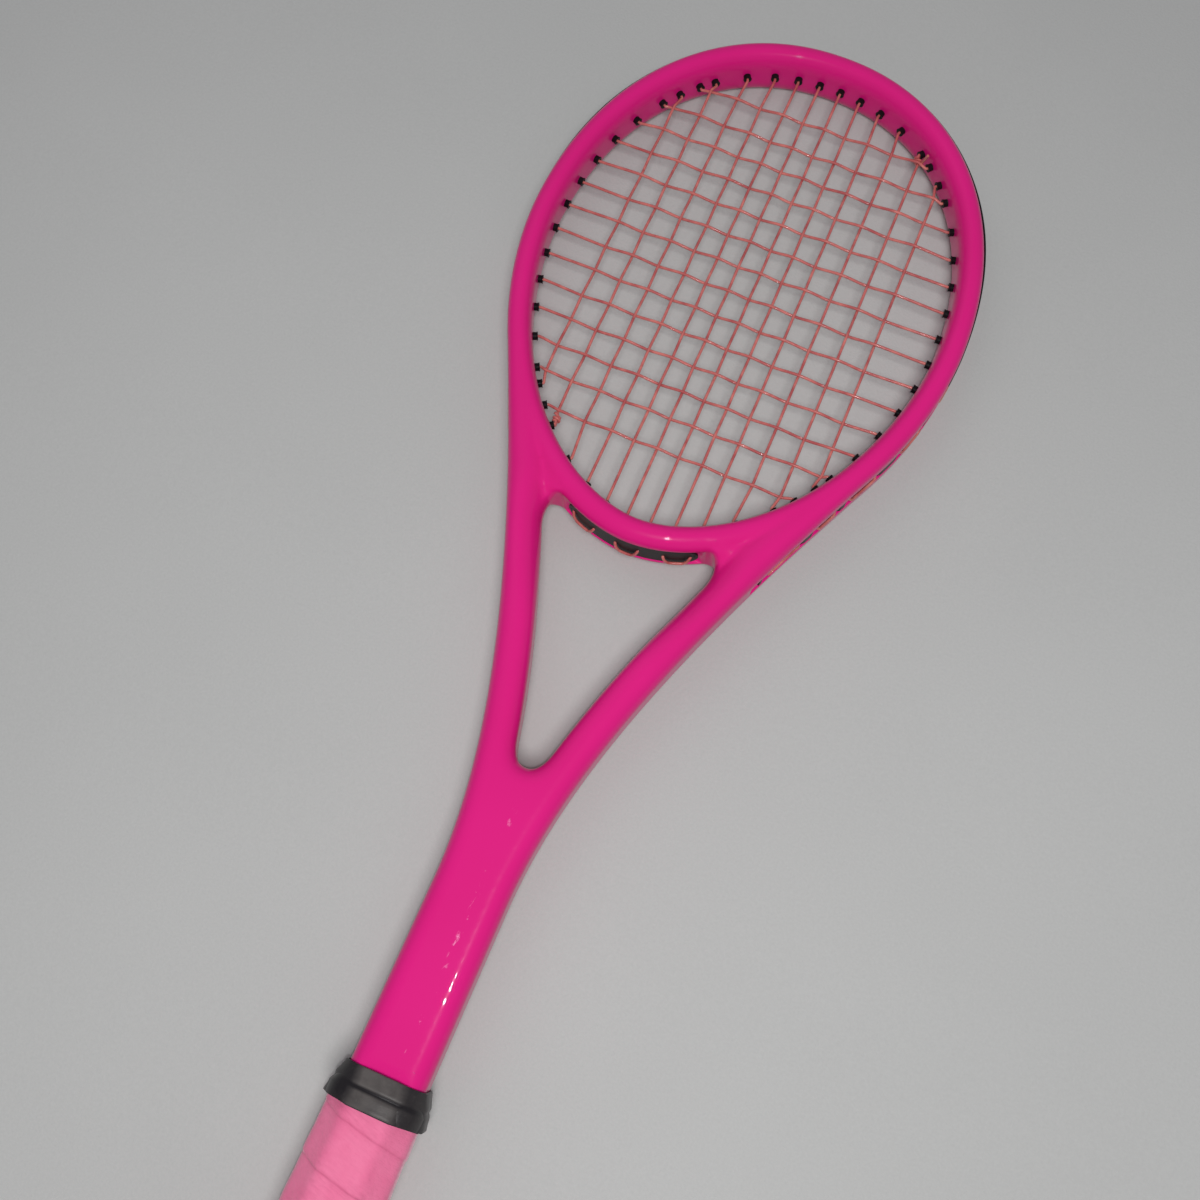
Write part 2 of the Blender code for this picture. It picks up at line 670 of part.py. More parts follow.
def weave(kind, number):
    """Crossing points of one string of the bed, in order up or to the right."""
    points = []
    inside = BARREL_REACH + MOUTH_GAP + STRING_DIAMETER
    for i, x in enumerate(main_places(), 1):
        for j, y in enumerate(cross_places(), 1):
            if number != (i if kind == "main" else j):
                continue
            across = abs(x) / (OPENING_HALF - inside)
            upward = y > HEAD_CENTRE
            reach = WIDEST_BELOW_TIP if upward else OPENING_BOTTOM
            power = TOP_ROUNDNESS if upward else BOTTOM_ROUNDNESS
            along = abs(y - HEAD_CENTRE) / (reach - inside)
            if across ** power + along ** power < 1:
                side = -1 if (i + j) % 2 == 0 else 1
                points.append((x, y, side * STRING_OFFSET * (1 if kind == "main" else -1)))
    return sorted(points, key=lambda p: p[1] if kind == "main" else p[0])


def string_path(holes):
    """The whole string, knot to knot: up and down the mains, then across from the throat up."""
    mains = len(main_places())
    anchor, last_anchor = holes["main", 2, "bottom"], holes["main", mains - 1, "top"]
    tied = STRING_OFFSET
    path = list(reversed(knot_points(anchor, weave("main", 2)[0], -tied, 1)))
    path += through(anchor, tied)
    here, here_z = anchor, tied
    for number in range(1, mains + 1):
        up = number % 2 == 1
        start = holes["main", number, "bottom" if up else "top"]
        end = holes["main", number, "top" if up else "bottom"]
        start_z = -tied if start.tie_off else 0.0
        end_z = -tied if end.tie_off else 0.0
        low = here_z < 0 or (number == mains and end_z == 0.0)
        path += loop_points(here, start, here_z, start_z, -LOOP_LIFT if low else LOOP_LIFT)
        path += list(reversed(through(start, start_z)))
        crossings = weave("main", number)
        path += crossings if up else list(reversed(crossings))
        path += through(end, end_z)
        here, here_z = end, end_z
    for number in range(CROSS_COUNT, 0, -1):
        leftward = (CROSS_COUNT - number) % 2 == 0
        start = holes["cross", number, "right" if leftward else "left"]
        end = holes["cross", number, "left" if leftward else "right"]
        path += loop_points(here, start, here_z, 0.0, -LOOP_LIFT)
        path += list(reversed(through(start, 0.0)))
        crossings = weave("cross", number)
        path += list(reversed(crossings)) if leftward else crossings
        path += through(end, 0.0)
        here, here_z = end, 0.0
    path += loop_points(here, last_anchor, 0.0, tied, LOOP_LIFT)
    path += list(reversed(through(last_anchor, tied)))
    return np.array(path + knot_points(last_anchor, weave("main", mains - 1)[-1], -tied, -1))


def tube(path, radius, sides):
    """Closed round tube along a path, one ring of corners at each point."""
    steps = np.diff(path, axis=0)
    steps /= np.linalg.norm(steps, axis=1)[:, None]
    tangents = [steps[0]] + [unit(a + b) for a, b in zip(steps, steps[1:])] + [steps[-1]]
    across = unit(np.cross(tangents[0], (0.3, 0.2, 1.0)))
    rings = []
    for point, tangent in zip(path, tangents):
        across = unit(across - tangent * np.dot(across, tangent))
        other = np.cross(tangent, across)
        turns = (2 * math.pi * k / sides for k in range(sides))
        rings.append([tuple(point + radius * (across * math.cos(a) + other * math.sin(a))) for a in turns])
    return skin(rings)


def least_gap(path, thickness, apart):
    """Smallest daylight between stretches of a path that lie apart along it."""
    fine = []
    for a, b in zip(path, path[1:]):
        count = max(1, int(np.linalg.norm(b - a) / (0.7 * mm)))
        fine += [a + (b - a) * k / count for k in range(count)]
    fine = np.array(fine)
    along = np.concatenate(((0.0,), np.cumsum(np.linalg.norm(np.diff(fine, axis=0), axis=1))))
    least = 1.0
    for i, point in enumerate(fine):
        far = fine[i + 1:][along[i + 1:] - along[i] > apart]
        if len(far):
            least = min(least, float(np.min(np.linalg.norm(far - point, axis=1))))
    return least - thickness


def swept_strip(edge, spots, profile):
    """Strip that follows an edge of the frame; the profile gives insets and heights."""
    rings = []
    for s, share in spots:
        point, normal = edge(s)
        ring = []
        for inset, height in profile:
            spot = point - normal * inset
            ring.append((spot[0], spot[1], height * share))
        rings.append(ring)
    return skin(rings)


def grommets(strip, holes):
    """A strip with its barrels joined on and bored through, as it is moulded."""
    solid = combine(strip, [hole.barrel() for hole in holes], "UNION")
    return combine(solid, [hole.bore() for hole in holes], "DIFFERENCE")


def flat_profile(depth, half):
    """Section of a flat strip on the floor of a groove."""
    bottom, top = depth - CLEARANCE, depth - CLEARANCE - STRIP_THICKNESS
    return [(bottom, -half), (bottom, half), (top, half), (top, -half)]


def bumper_profile():
    """Section of the bumper guard: a channel for the loops between two outer flanges."""
    floor = GROOVE_DEPTH - CLEARANCE
    rim = GROOVE_HEIGHT / 2 - CLEARANCE
    foot = rim - GROOVE_SLOPE
    half = [(floor, foot), (-CLEARANCE, rim), (-CLEARANCE, BUMPER_HEIGHT / 2),
            (-CLEARANCE - BUMPER_THICKNESS, BUMPER_HEIGHT / 2 - 0.6 * mm),
            (-CLEARANCE - BUMPER_THICKNESS, rim - BUMPER_WEB), (floor - STRIP_THICKNESS, foot - BUMPER_WEB)]
    return half + [(inset, -height) for inset, height in reversed(half)]


def bumper_guard(stop, holes):
    """Bumper guard round the tip with the barrels that it carries."""
    count = max(8, int(2 * stop / STRIP_STEP))
    spots = [(s, 1.0) for s in np.linspace(-stop, stop, count)]
    return grommets(swept_strip(rim_at, spots, bumper_profile()), holes)


def side_strip(side, start, end, holes):
    """Grommet strip in the side groove, from the bumper guard down to the throat."""
    count = max(4, int((end - start) / STRIP_STEP))
    half = GROOVE_HEIGHT / 2 - GROOVE_SLOPE - CLEARANCE
    spots = [(side * s, 1.0) for s in np.linspace(start, end, count)]
    return grommets(swept_strip(rim_at, spots, flat_profile(GROOVE_DEPTH, half)), holes)


def throat_strip(holes):
    """Pill-shaped grommet strip in its recess on the bridge."""
    half = THROAT_RECESS_HEIGHT / 2 - GROOVE_SLOPE - CLEARANCE
    ends = [(THROAT_STRIP_HALF - half + half * math.cos(a), max(0.3, math.sin(a)))
            for a in np.linspace(0.1, math.pi / 2, 4)]
    middle = [(x, 1.0) for x in np.linspace(THROAT_STRIP_HALF - half, half - THROAT_STRIP_HALF, 9)[1:-1]]
    spots = ends + middle + [(-x, share) for x, share in reversed(ends)]
    return grommets(swept_strip(bridge_at, spots, flat_profile(THROAT_RECESS_DEPTH, half)), holes)


def grip_loop(offset, y, steps=1):
    """Outline of the eight-sided handle, grown by an offset."""
    bevel = PALLET_BEVEL + (2 - math.sqrt(2)) * offset
    return corner_loop(PALLET_WIDTH + 2 * offset, PALLET_HEIGHT + 2 * offset, bevel, steps, y)


def pallet_half(side):
    """Half of the handle's shell: it wraps one face of the core, stepped for the butt cap."""
    pocket_x = HANDLE_CORE_WIDTH / 2 + CLEARANCE
    pocket_z = HANDLE_CORE_HEIGHT / 2 + CLEARANCE
    split = CLEARANCE / 2
    rings = []
    sleeve_end = BUTT_CAP_SLEEVE + CLEARANCE
    step = -BUTT_CAP_WALL - CLEARANCE
    for y, offset in ((PALLET_START, step), (sleeve_end, step), (sleeve_end, 0.0), (PALLET_END, 0.0)):
        loop = grip_loop(offset, y)
        upper = [p for p in loop if p[2] > 0]
        right, left = upper[0], upper[-1]
        ring = [(right[0], y, split)] + upper + [(left[0], y, split)]
        pocket = [(pocket_x, split), (pocket_x, pocket_z - POCKET_BEVEL), (pocket_x - POCKET_BEVEL, pocket_z)]
        ring += [(-x, y, z) for x, z in pocket] + [(x, y, z) for x, z in reversed(pocket)]
        rings.append([(x, y_, side * z) for x, y_, z in ring])
    return skin(rings)


def wound_strip(offset, thickness, pitch, start, end, steps, chamfer):
    """Grip wound up the handle as one strip, tapered where it starts and ends."""
    inner, outer = grip_loop(offset, 0.0, steps), grip_loop(offset + thickness, 0.0, steps)
    bevelled = grip_loop(offset + thickness - chamfer, 0.0, steps)
    corners = len(inner)
    around = Path([(p[0], p[2]) for p in inner + inner[:1]], 1)
    width = pitch - GRIP_SEAM_GAP
    turns = (end - start) / pitch + 1
    least = 1.0
    rings = []
    for k in range(int(turns * corners) + 1):
        spot = k % corners
        high = start + pitch * (k // corners + around.lengths[spot] / around.length)
        low = max(start, high - width)
        high = min(high, end)
        if high - low < MIN_GRIP_END:
            continue
        edge = min(chamfer, (high - low) / 4)
        ring = []
        for y, loop in ((low, inner), (low, bevelled), (low + edge, outer),
                        (high - edge, outer), (high, bevelled), (high, inner)):
            ring.append((loop[spot][0], y, loop[spot][2]))
        rings.append(ring)
    if len(rings) > corners:
        least = min(after[0][1] - before[-1][1] for before, after in zip(rings, rings[corners:]))
    return skin(rings), least


def bar(low, high):
    """Rectangular bar between two corners."""
    return skin([[(low[0], y, low[2]), (high[0], y, low[2]), (high[0], y, high[2]), (low[0], y, high[2])]
                 for y in (low[1], high[1])])


def butt_cap_staple(side, grow=0.0):
    """Staple that holds the cap's sleeve and both pallet halves; its seat is one grown all round."""
    half = STAPLE_WIDTH / 2 + grow
    low, high = STAPLE_FROM_END - half, STAPLE_FROM_END + half
    span = STAPLE_SPAN / 2 + grow
    back, tip = STAPLE_FACE - STAPLE_WIRE - grow, STAPLE_FACE - STAPLE_LEG - grow
    crown = bar((back, low, -span), (STAPLE_FACE + 2 * grow, high, span))
    lap = STAPLE_WIRE / 2
    legs = []
    for up in (-1, 1):
        ends = sorted((up * span, up * (span - STAPLE_WIRE - 2 * grow)))
        legs.append(bar((tip, low, ends[0]), (back + lap, high, ends[1])))
    staple = combine(crown, legs, "UNION")
    if side < 0:
        staple.transform(Matrix.Scale(-1, 4, (1, 0, 0)))
        staple.flip_normals()
    return staple


def ring_piece(sections, steps):
    """Closed ring round the handle's axis: y, width, height, corner and kind of each section."""
    return skin([corner_loop(w, h, c, steps, y, arced=arced) for y, w, h, c, arced in sections], wrap=True)


def grip_sections(rows):
    """Sections that follow the eight-sided handle, from places and offsets."""
    sections = []
    for y, offset in rows:
        bevel = PALLET_BEVEL + (2 - math.sqrt(2)) * offset
        sections.append((y, PALLET_WIDTH + 2 * offset, PALLET_HEIGHT + 2 * offset, bevel, False))
    return sections


def grip_collar():
    """Rubber collar: a neck on the shaft and a skirt over the top of the grip."""
    neck = CLEARANCE
    wide = PALLET_WIDTH + 2 * COLLAR_OFFSET
    tall = PALLET_HEIGHT + 2 * COLLAR_OFFSET
    slim, thin = SHAFT_WIDTH + 2 * neck, BEAM_HEIGHT + 2 * neck
    corner, soft = FRAME_EDGE + neck, COLLAR_CORNER
    wall = 2 * COLLAR_WALL

    def between(share, grow):
        return (wide + (slim - wide) * share + grow, tall + (thin - tall) * share + grow,
                soft + (corner - soft) * share + grow / 2, True)

    outside = ((0.0, 0.0, wall), (0.1, 0.0, wall), (0.42, 0.2, wall), (0.5, 0.34, wall - 0.7 * mm),
               (0.58, 0.42, wall), (0.8, 0.8, wall), (0.97, 1.0, wall))
    inside = ((1.0, 1.0, 0.0), (0.78, 1.0, 0.0), (0.6, 0.62, 0.0), (0.36, 0.0, 0.0))
    sections = [(COLLAR_BOTTOM + share * COLLAR_HEIGHT, *between(mix, grow)) for share, mix, grow in outside]
    sections += [(COLLAR_BOTTOM + share * COLLAR_HEIGHT, *between(mix, grow)) for share, mix, grow in inside]
    sections.append((COLLAR_BOTTOM, *between(0.0, 0.0)))
    return ring_piece(sections, 4)


def butt_cap():
    """Flared butt cap with a sleeve over the pallets and a rebated opening for the door."""
    wide, tall, soft = BUTT_CAP_WIDTH, BUTT_CAP_HEIGHT, BUTT_CAP_CORNER
    door = (DOOR_WIDTH + 2 * CLEARANCE, DOOR_HEIGHT + 2 * CLEARANCE, DOOR_CORNER + CLEARANCE, True)
    ledge = (DOOR_WIDTH - 2 * DOOR_LEDGE, DOOR_HEIGHT - 2 * DOOR_LEDGE, DOOR_CORNER, True)
    lip = BUTT_CAP_FLANGE
    sections = [(DOOR_THICKNESS + CLEARANCE, *door), (0.0, *door)]
    for y, less in ((0.0, 3 * mm), (0.25 * lip, 0.6 * mm), (0.6 * lip, 0.0), (lip, 1.2 * mm)):
        sections.append((y, wide - less, tall - less, soft - less / 2, True))
    sections += grip_sections(((1.7 * lip, 0.0), (BUTT_CAP_SLEEVE, 0.0), (BUTT_CAP_SLEEVE, -BUTT_CAP_WALL),
                               (BUTT_END_WALL, -BUTT_CAP_WALL)))
    sections += [(BUTT_END_WALL, *ledge), (DOOR_THICKNESS + CLEARANCE, *ledge)]
    return ring_piece(sections, 3)


def butt_cap_door():
    """Door in the end of the butt cap: a plate in the rebate and a plug behind it."""
    plug = 2 * (DOOR_LEDGE + CLEARANCE)
    rows = ((0.0, 0.6 * mm), (0.4 * mm, 0.0), (DOOR_THICKNESS, 0.0), (DOOR_THICKNESS, plug),
            (DOOR_PLUG_DEPTH - 1 * mm, plug), (DOOR_PLUG_DEPTH, plug + 1 * mm))
    return skin([corner_loop(DOOR_WIDTH - less, DOOR_HEIGHT - less, DOOR_CORNER - less / 6, 3, y)
                 for y, less in rows])


def foam_plug(side):
    """Foam plug that closes one chamber of the core near the butt."""
    shift = side * (CORE_BORE_WIDTH + CORE_WALL_BETWEEN) / 2
    less = 2 * CLEARANCE
    return skin([corner_loop(CORE_BORE_WIDTH - less, CORE_BORE_HEIGHT - less, CHAMBER_CORNER, 1, y, shift)
                 for y in (FOAM_START, FOAM_START + FOAM_LENGTH)])


def build():
    """Make every piece of the racket."""
    clear_scene()
    holes = string_holes()
    add_piece("frame", frame_mesh(holes), PINK_LACQUER)
    stop = bumper_stop(holes)
    side_start, side_end = stop + STRIP_END_GAP, groove_stop(holes) - STRIP_END_GAP
    in_rim = [hole for hole in holes.values() if hole.place == "rim"]
    by_bumper = [hole for hole in in_rim if abs(hole.along) <= stop]
    add_piece("bumper_guard", bumper_guard(stop, by_bumper), BLACK_NYLON)
    for side, name in ((-1, "grommet_strip_left"), (1, "grommet_strip_right")):
        carried = [hole for hole in in_rim if hole.along * side > stop]
        add_piece(name, side_strip(side, side_start, side_end, carried), BLACK_NYLON)
    by_throat = [hole for hole in holes.values() if hole.place == "bridge"]
    add_piece("grommet_strip_throat", throat_strip(by_throat), BLACK_NYLON)
    path = string_path(holes)
    add_piece("string", tube(path, STRING_DIAMETER / 2, STRING_SIDES), ROSE_STRING)
    print(f"string: {len(path)} points, least gap to itself "
          f"{least_gap(path, STRING_DIAMETER, 4 * STRING_DIAMETER) / mm:.2f} mm")
    seats = [butt_cap_staple(side, STAPLE_GAP) for side in (-1, 1)]
    for side, name in ((1, "handle_pallet_front"), (-1, "handle_pallet_back")):
        add_piece(name, combine(pallet_half(side), seats, "DIFFERENCE"), GREY_FOAM)
    add_piece("foam_plug_left", foam_plug(-1), GREY_FOAM)
    add_piece("foam_plug_right", foam_plug(1), GREY_FOAM)
    add_piece("butt_cap", combine(butt_cap(), seats, "DIFFERENCE"), BLACK_NYLON)
    for side, name in ((-1, "butt_cap_staple_left"), (1, "butt_cap_staple_right")):
        add_piece(name, butt_cap_staple(side), STEEL_WIRE)
    add_piece("butt_cap_door", butt_cap_door(), BLACK_NYLON)
    grips = (("base_grip", BASE_GRIP_OFFSET, BASE_GRIP_THICKNESS, BASE_GRIP_PITCH, 1, BLACK_LEATHER),
             ("overgrip", OVERGRIP_OFFSET, OVERGRIP_THICKNESS, OVERGRIP_PITCH, 1, PINK_OVERGRIP))
    for name, offset, thickness, pitch, steps, finish in grips:
        mesh, least = wound_strip(offset, thickness, pitch, GRIP_START, GRIP_END, steps, thickness * 0.45)
        add_piece(name, mesh, finish)
        print(f"{name}: least gap between turns {least / mm:.2f} mm")
    tape = grip_sections(((GRIP_END - TAPE_WIDTH, TAPE_OFFSET + TAPE_THICKNESS), (GRIP_END, TAPE_OFFSET
                         + TAPE_THICKNESS), (GRIP_END, TAPE_OFFSET), (GRIP_END - TAPE_WIDTH, TAPE_OFFSET)))
    add_piece("finishing_tape", ring_piece(tape, 2), BLACK_NYLON)
    add_piece("grip_collar", grip_collar(), BLACK_RUBBER)


build()
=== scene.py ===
"""Looks of the tennis training racket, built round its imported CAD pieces.

The racket lies flat with its axis along +Y from the butt end to the tip, the strings lie in the
plane Z = 0, and all sizes are in metres. Each class builds one sub-assembly and dresses it.
"""

from __future__ import annotations

import logging
import math
from collections.abc import Callable, Sequence
from dataclasses import dataclass
from enum import Enum

import bmesh
import bpy
import numpy as np
from mathutils import Matrix, Vector, geometry

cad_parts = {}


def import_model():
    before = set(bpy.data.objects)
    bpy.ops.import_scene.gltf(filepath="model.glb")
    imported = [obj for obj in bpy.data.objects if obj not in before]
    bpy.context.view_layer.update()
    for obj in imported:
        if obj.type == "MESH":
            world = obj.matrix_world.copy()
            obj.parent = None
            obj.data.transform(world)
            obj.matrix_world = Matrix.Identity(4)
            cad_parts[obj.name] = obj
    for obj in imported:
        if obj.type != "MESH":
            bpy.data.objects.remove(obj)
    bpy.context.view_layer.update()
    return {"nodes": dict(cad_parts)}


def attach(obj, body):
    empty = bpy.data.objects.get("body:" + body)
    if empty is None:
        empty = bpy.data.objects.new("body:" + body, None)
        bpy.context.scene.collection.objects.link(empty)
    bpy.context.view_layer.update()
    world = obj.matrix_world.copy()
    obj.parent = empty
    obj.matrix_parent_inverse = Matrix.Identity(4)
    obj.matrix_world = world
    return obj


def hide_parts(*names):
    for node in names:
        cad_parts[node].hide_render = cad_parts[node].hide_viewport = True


MM = 0.001
TINY = 1e-6
NORMAL_REACH = 1.5 * MM
FITTING_ROUNDS = 5
log = logging.getLogger("racket")

Point = np.ndarray
Corner = tuple[float, float, float]
Ring = list[Corner]
Span = tuple[float, float]
Colour = tuple[float, float, float, float]


# ---------------- node trees


class Signal:
    """An output socket that can stand in Python arithmetic."""

    def __init__(self, tree: NodeTree, socket: bpy.types.NodeSocket) -> None:
        """Remember the socket and the tree that it belongs to."""
        self.tree = tree
        self.socket = socket

    def _math(self, operation: str, first: Feed, second: Feed) -> Signal:
        """Add one Math node."""
        return self.tree.add("ShaderNodeMath", {"operation": operation}, {0: first, 1: second})

    def __add__(self, other: Feed) -> Signal:
        """Sum."""
        return self._math("ADD", self, other)

    def __sub__(self, other: Feed) -> Signal:
        """Difference."""
        return self._math("SUBTRACT", self, other)

    def __rsub__(self, other: Feed) -> Signal:
        """Difference with the socket second."""
        return self._math("SUBTRACT", other, self)

    def __mul__(self, other: Feed) -> Signal:
        """Product."""
        return self._math("MULTIPLY", self, other)

    def __pow__(self, other: Feed) -> Signal:
        """Power."""
        return self._math("POWER", self, other)

    __radd__ = __add__
    __rmul__ = __mul__


Feed = Signal | float | tuple


class NodeTree:
    """A tree of nodes, built through a single node method."""

    def __init__(self, tree: bpy.types.NodeTree) -> None:
        """Remember Blender's tree."""
        self.tree = tree

    def feed(self, socket: bpy.types.NodeSocket, value: Feed) -> None:
        """Link a signal to an input, or set the input's own value."""
        if isinstance(value, Signal):
            self.tree.links.new(value.socket, socket)
        else:
            socket.default_value = value

    def add(self, kind: str, settings: dict | None = None, values: dict | None = None,
            output: int | str = 0) -> Signal:
        """Add a node.

        Args:
            kind: Type of the node.
            settings: Properties, set before its sockets; "stops" fills a colour ramp.
            values: Value or signal of each input socket, by number or name.
            output: The output socket wanted.

        Returns:
            The chosen output.
        """
        node = self.tree.nodes.new(kind)
        for name, value in (settings or {}).items():
            if name == "stops":
                elements = node.color_ramp.elements
                while len(elements) < len(value):
                    elements.new(1.0)
                for element, (position, shade) in zip(list(elements), value):
                    element.position, element.color = position, (shade, shade, shade, 1.0)
            else:
                setattr(node, name, value)
        for key, value in (values or {}).items():
            self.feed(node.inputs[key], value)
        return Signal(self, node.outputs[output])


class FinishTree(NodeTree):
    """Shader tree of one material."""

    def __init__(self, name: str) -> None:
        """Start a material with its Principled shader.

        Args:
            name: Name of the material.
        """
        self.material = bpy.data.materials.new(name)
        self.material.use_nodes = True
        super().__init__(self.material.node_tree)
        self.shader = self.tree.nodes["Principled BSDF"]

    def place(self) -> Signal:
        """Object coordinates, in metres."""
        return self.add("ShaderNodeTexCoord", output="Object")

    def x_and_y(self) -> tuple[Signal, Signal]:
        """Object coordinates across and along the racket."""
        x = self.add("ShaderNodeSeparateXYZ", None, {0: self.place()}, "X")
        return x, Signal(self, x.socket.node.outputs["Y"])

    def across(self, coordinate: Signal, middle: float, width: float) -> Signal:
        """Way across a band of the given width, 0.5 at its middle."""
        return (coordinate - middle) * (1 / width) + 0.5

    def stretched(self, scale: tuple[float, float, float], turn: float = 0.0) -> Signal:
        """Object coordinates turned about Z and scaled.

        Args:
            scale: Factor along each axis.
            turn: Angle in degrees.

        Returns:
            The mapped coordinates.
        """
        return self.add("ShaderNodeMapping", {"vector_type": "TEXTURE"}, {
            "Vector": self.place(), "Rotation": (0.0, 0.0, math.radians(turn)),
            "Scale": tuple(1 / s for s in scale)})

    def noise(self, scale: float, detail: float = 3.0, rough: float = 0.55,
              where: Signal | None = None) -> Signal:
        """Noise value over the object coordinates or the given ones."""
        return self.add("ShaderNodeTexNoise", None, {
            "Vector": where or self.place(), "Scale": scale, "Detail": detail, "Roughness": rough})

    def cells(self, scale: float, feature: str = "F1") -> Signal:
        """Distance value of a Voronoi pattern."""
        return self.add("ShaderNodeTexVoronoi", {"feature": feature},
                        {"Vector": self.place(), "Scale": scale}, "Distance")

    def ramp(self, factor: Signal, *stops: tuple[float, float]) -> Signal:
        """Grey ramp over a value."""
        return self.add("ShaderNodeValToRGB", {"stops": stops}, {"Fac": factor})

    def blend(self, factor: Feed, first: Feed, second: Feed) -> Signal:
        """Mix of two colours."""
        return self.add("ShaderNodeMix", {"data_type": "RGBA"}, {0: factor, 6: first, 7: second}, 2)

    def bump(self, height: Signal, depth: float, below: Signal | None = None) -> Signal:
        """Normal of a height pattern.

        Args:
            height: The pattern, from 0 to 1.
            depth: Its full height in metres.
            below: Normal of another pattern under it.

        Returns:
            The bumped normal.
        """
        values = {"Height": height, "Strength": 1.0, "Distance": depth}
        if below is not None:
            values["Normal"] = below
        return self.add("ShaderNodeBump", None, values)

    def finish(self, **values: Feed) -> bpy.types.Material:
        """Feed the Principled shader's sockets.

        Args:
            values: Value or signal of each socket, with underscores for the spaces in its name.

        Returns:
            The finished material.
        """
        for name, value in values.items():
            self.feed(self.shader.inputs[name.replace("_", " ")], value)
        return self.material


def rgb(red: int, green: int, blue: int) -> Colour:
    """Linear colour of an 8-bit screen colour."""
    return (*(((c / 255 + 0.055) / 1.055) ** 2.4 if c > 10 else c / 255 / 12.92
              for c in (red, green, blue)), 1.0)


# ---------------- finishes


@dataclass(frozen=True)
class Lacquer:
    """Hot pink gloss lacquer with fine scratches on the shaft, and a bare black handle core."""

    colour: Colour = rgb(215, 28, 123)
    deep: Colour = rgb(198, 20, 108)
    scratch: Colour = rgb(250, 160, 205)
    laminate: Colour = rgb(40, 39, 42)
    bare_below: float = 203 * MM
    worn_middle: float = 3.5 * MM
    worn_width: float = 4 * MM
    worn_start: float = 215 * MM
    worn_length: float = 1 / 9
    peel_depth: float = 0.02 * MM

    def build(self) -> bpy.types.Material:
        """Make the material."""
        tree = FinishTree("pink_lacquer")
        clouds = tree.ramp(tree.noise(14, 2), (0.35, 0.0), (0.7, 1.0))
        base = tree.blend(clouds * 0.35, self.colour, self.deep)
        long_way = tree.stretched((170, 60, 60), -10)
        lines = tree.ramp(tree.noise(1.0, 4, 0.6, long_way), (0.482, 0.0), (0.5, 1.0), (0.518, 0.0))
        patches = tree.ramp(tree.noise(75, 2), (0.46, 0.0), (0.55, 1.0))
        worn = self.worn_places(tree)
        specks = tree.ramp(tree.noise(700, 2), (0.66, 0.0), (0.72, 1.0))
        marks = lines * patches * worn + specks * worn * 0.5
        orange_peel = tree.noise(260, 2, 0.4)
        _, y = tree.x_and_y()
        bare = tree.ramp(tree.across(y, self.bare_below, 2 * MM), (0.3, 1.0), (0.7, 0.0))
        return tree.finish(
            Base_Color=tree.blend(bare, tree.blend(marks * 0.8, base, self.scratch), self.laminate),
            Roughness=0.3 + marks * 0.25 + bare * 0.2,
            Normal=tree.bump(orange_peel, self.peel_depth),
            Coat_Weight=(0.42 - marks * 0.2) * (1.0 - bare), Coat_Roughness=0.035, Coat_IOR=1.45,
            Specular_IOR_Level=0.1)

    def worn_places(self, tree: FinishTree) -> Signal:
        """Mask of the shaft's scratched stretch, right of the middle.

        Args:
            tree: The finish's tree.

        Returns:
            1 on the stretch and 0 away from it.
        """
        x, y = tree.x_and_y()
        sideways = tree.ramp(tree.across(x, self.worn_middle, self.worn_width),
                             (0.2, 0.0), (0.5, 1.0), (0.8, 0.0))
        lengthways = tree.ramp((y - self.worn_start) * (1 / self.worn_length),
                               (0.0, 0.0), (0.1, 1.0), (0.8, 1.0), (0.98, 0.0))
        return sideways * lengthways


@dataclass(frozen=True)
class Moulded:
    """Matt moulded plastic or rubber, grained and a little worn.

    On the collar, a painted sheen lightens the flat facets up to a half-width from the middle, and
    painted shade darkens the recessed line.
    """

    name: str
    colour: Colour
    # Paler colour of the random clouds and dust; on the collar it is also the colour of the facets'
    # painted sheen.
    worn: Colour
    roughness: float
    grain: float = 2600.0
    depth: float = 0.03 * MM
    # Half-width of the painted sheen on the collar's facets, 0 for none.
    sheen_half_width: float = 0.0
    # Place along the racket of the recessed line that painted shade darkens, used with the facets'
    # sheen.
    line: float = 0.0
    shine: float = 0.5

    def build(self) -> bpy.types.Material:
        """Make the material."""
        tree = FinishTree(self.name)
        clouds = tree.ramp(tree.noise(90, 4, 0.6), (0.35, 0.0), (0.75, 1.0))
        dust = tree.ramp(tree.noise(1100, 2), (0.6, 0.0), (0.72, 1.0))
        grain = tree.noise(self.grain, 2, 0.5)
        shade = clouds * 0.3 + dust * 0.12
        # Collar only: painted sheen lightens the facets near the middle, and painted shade darkens
        # the recessed line.
        if self.sheen_half_width:
            x, y = tree.x_and_y()
            painted_facet_sheen = tree.ramp((x * x) ** 0.5 * (0.8 / self.sheen_half_width), (0.6, 1.0), (0.95, 0.0))
            recess_shade_mask = tree.ramp(tree.across(y, self.line, 4 * MM),
                               (0.22, 1.0), (0.42, 0.0), (0.6, 0.0), (0.8, 1.0))
            shade = (shade + painted_facet_sheen * (0.55 + clouds * 0.45)) * recess_shade_mask
        return tree.finish(
            Base_Color=tree.blend(shade, self.colour, self.worn),
            Roughness=self.roughness + (clouds - 0.5) * 0.12,
            Specular_IOR_Level=self.shine,
            Normal=tree.bump(grain, self.depth))


@dataclass(frozen=True)
class StringCoat:
    """Rose-copper coated string with a fibrous core under the coat."""

    colour: Colour = rgb(172, 80, 80)
    light: Colour = rgb(206, 118, 110)
    worn: Colour = rgb(134, 60, 60)

    def build(self) -> bpy.types.Material:
        """Make the material."""
        tree = FinishTree("rose_string")
        fibres = tree.noise(2400, 3, 0.6)
        patches = tree.ramp(tree.noise(160, 3), (0.35, 0.0), (0.7, 1.0))
        base = tree.blend(patches, self.colour, self.light)
        scuffs = tree.ramp(tree.noise(900, 2), (0.56, 0.0), (0.7, 1.0))
        return tree.finish(
            Base_Color=tree.blend(scuffs * 0.4, base, self.worn),
            Roughness=0.26 + scuffs * 0.2,
            Normal=tree.bump(fibres, 0.02 * MM),
            Coat_Weight=0.6, Coat_Roughness=0.12)


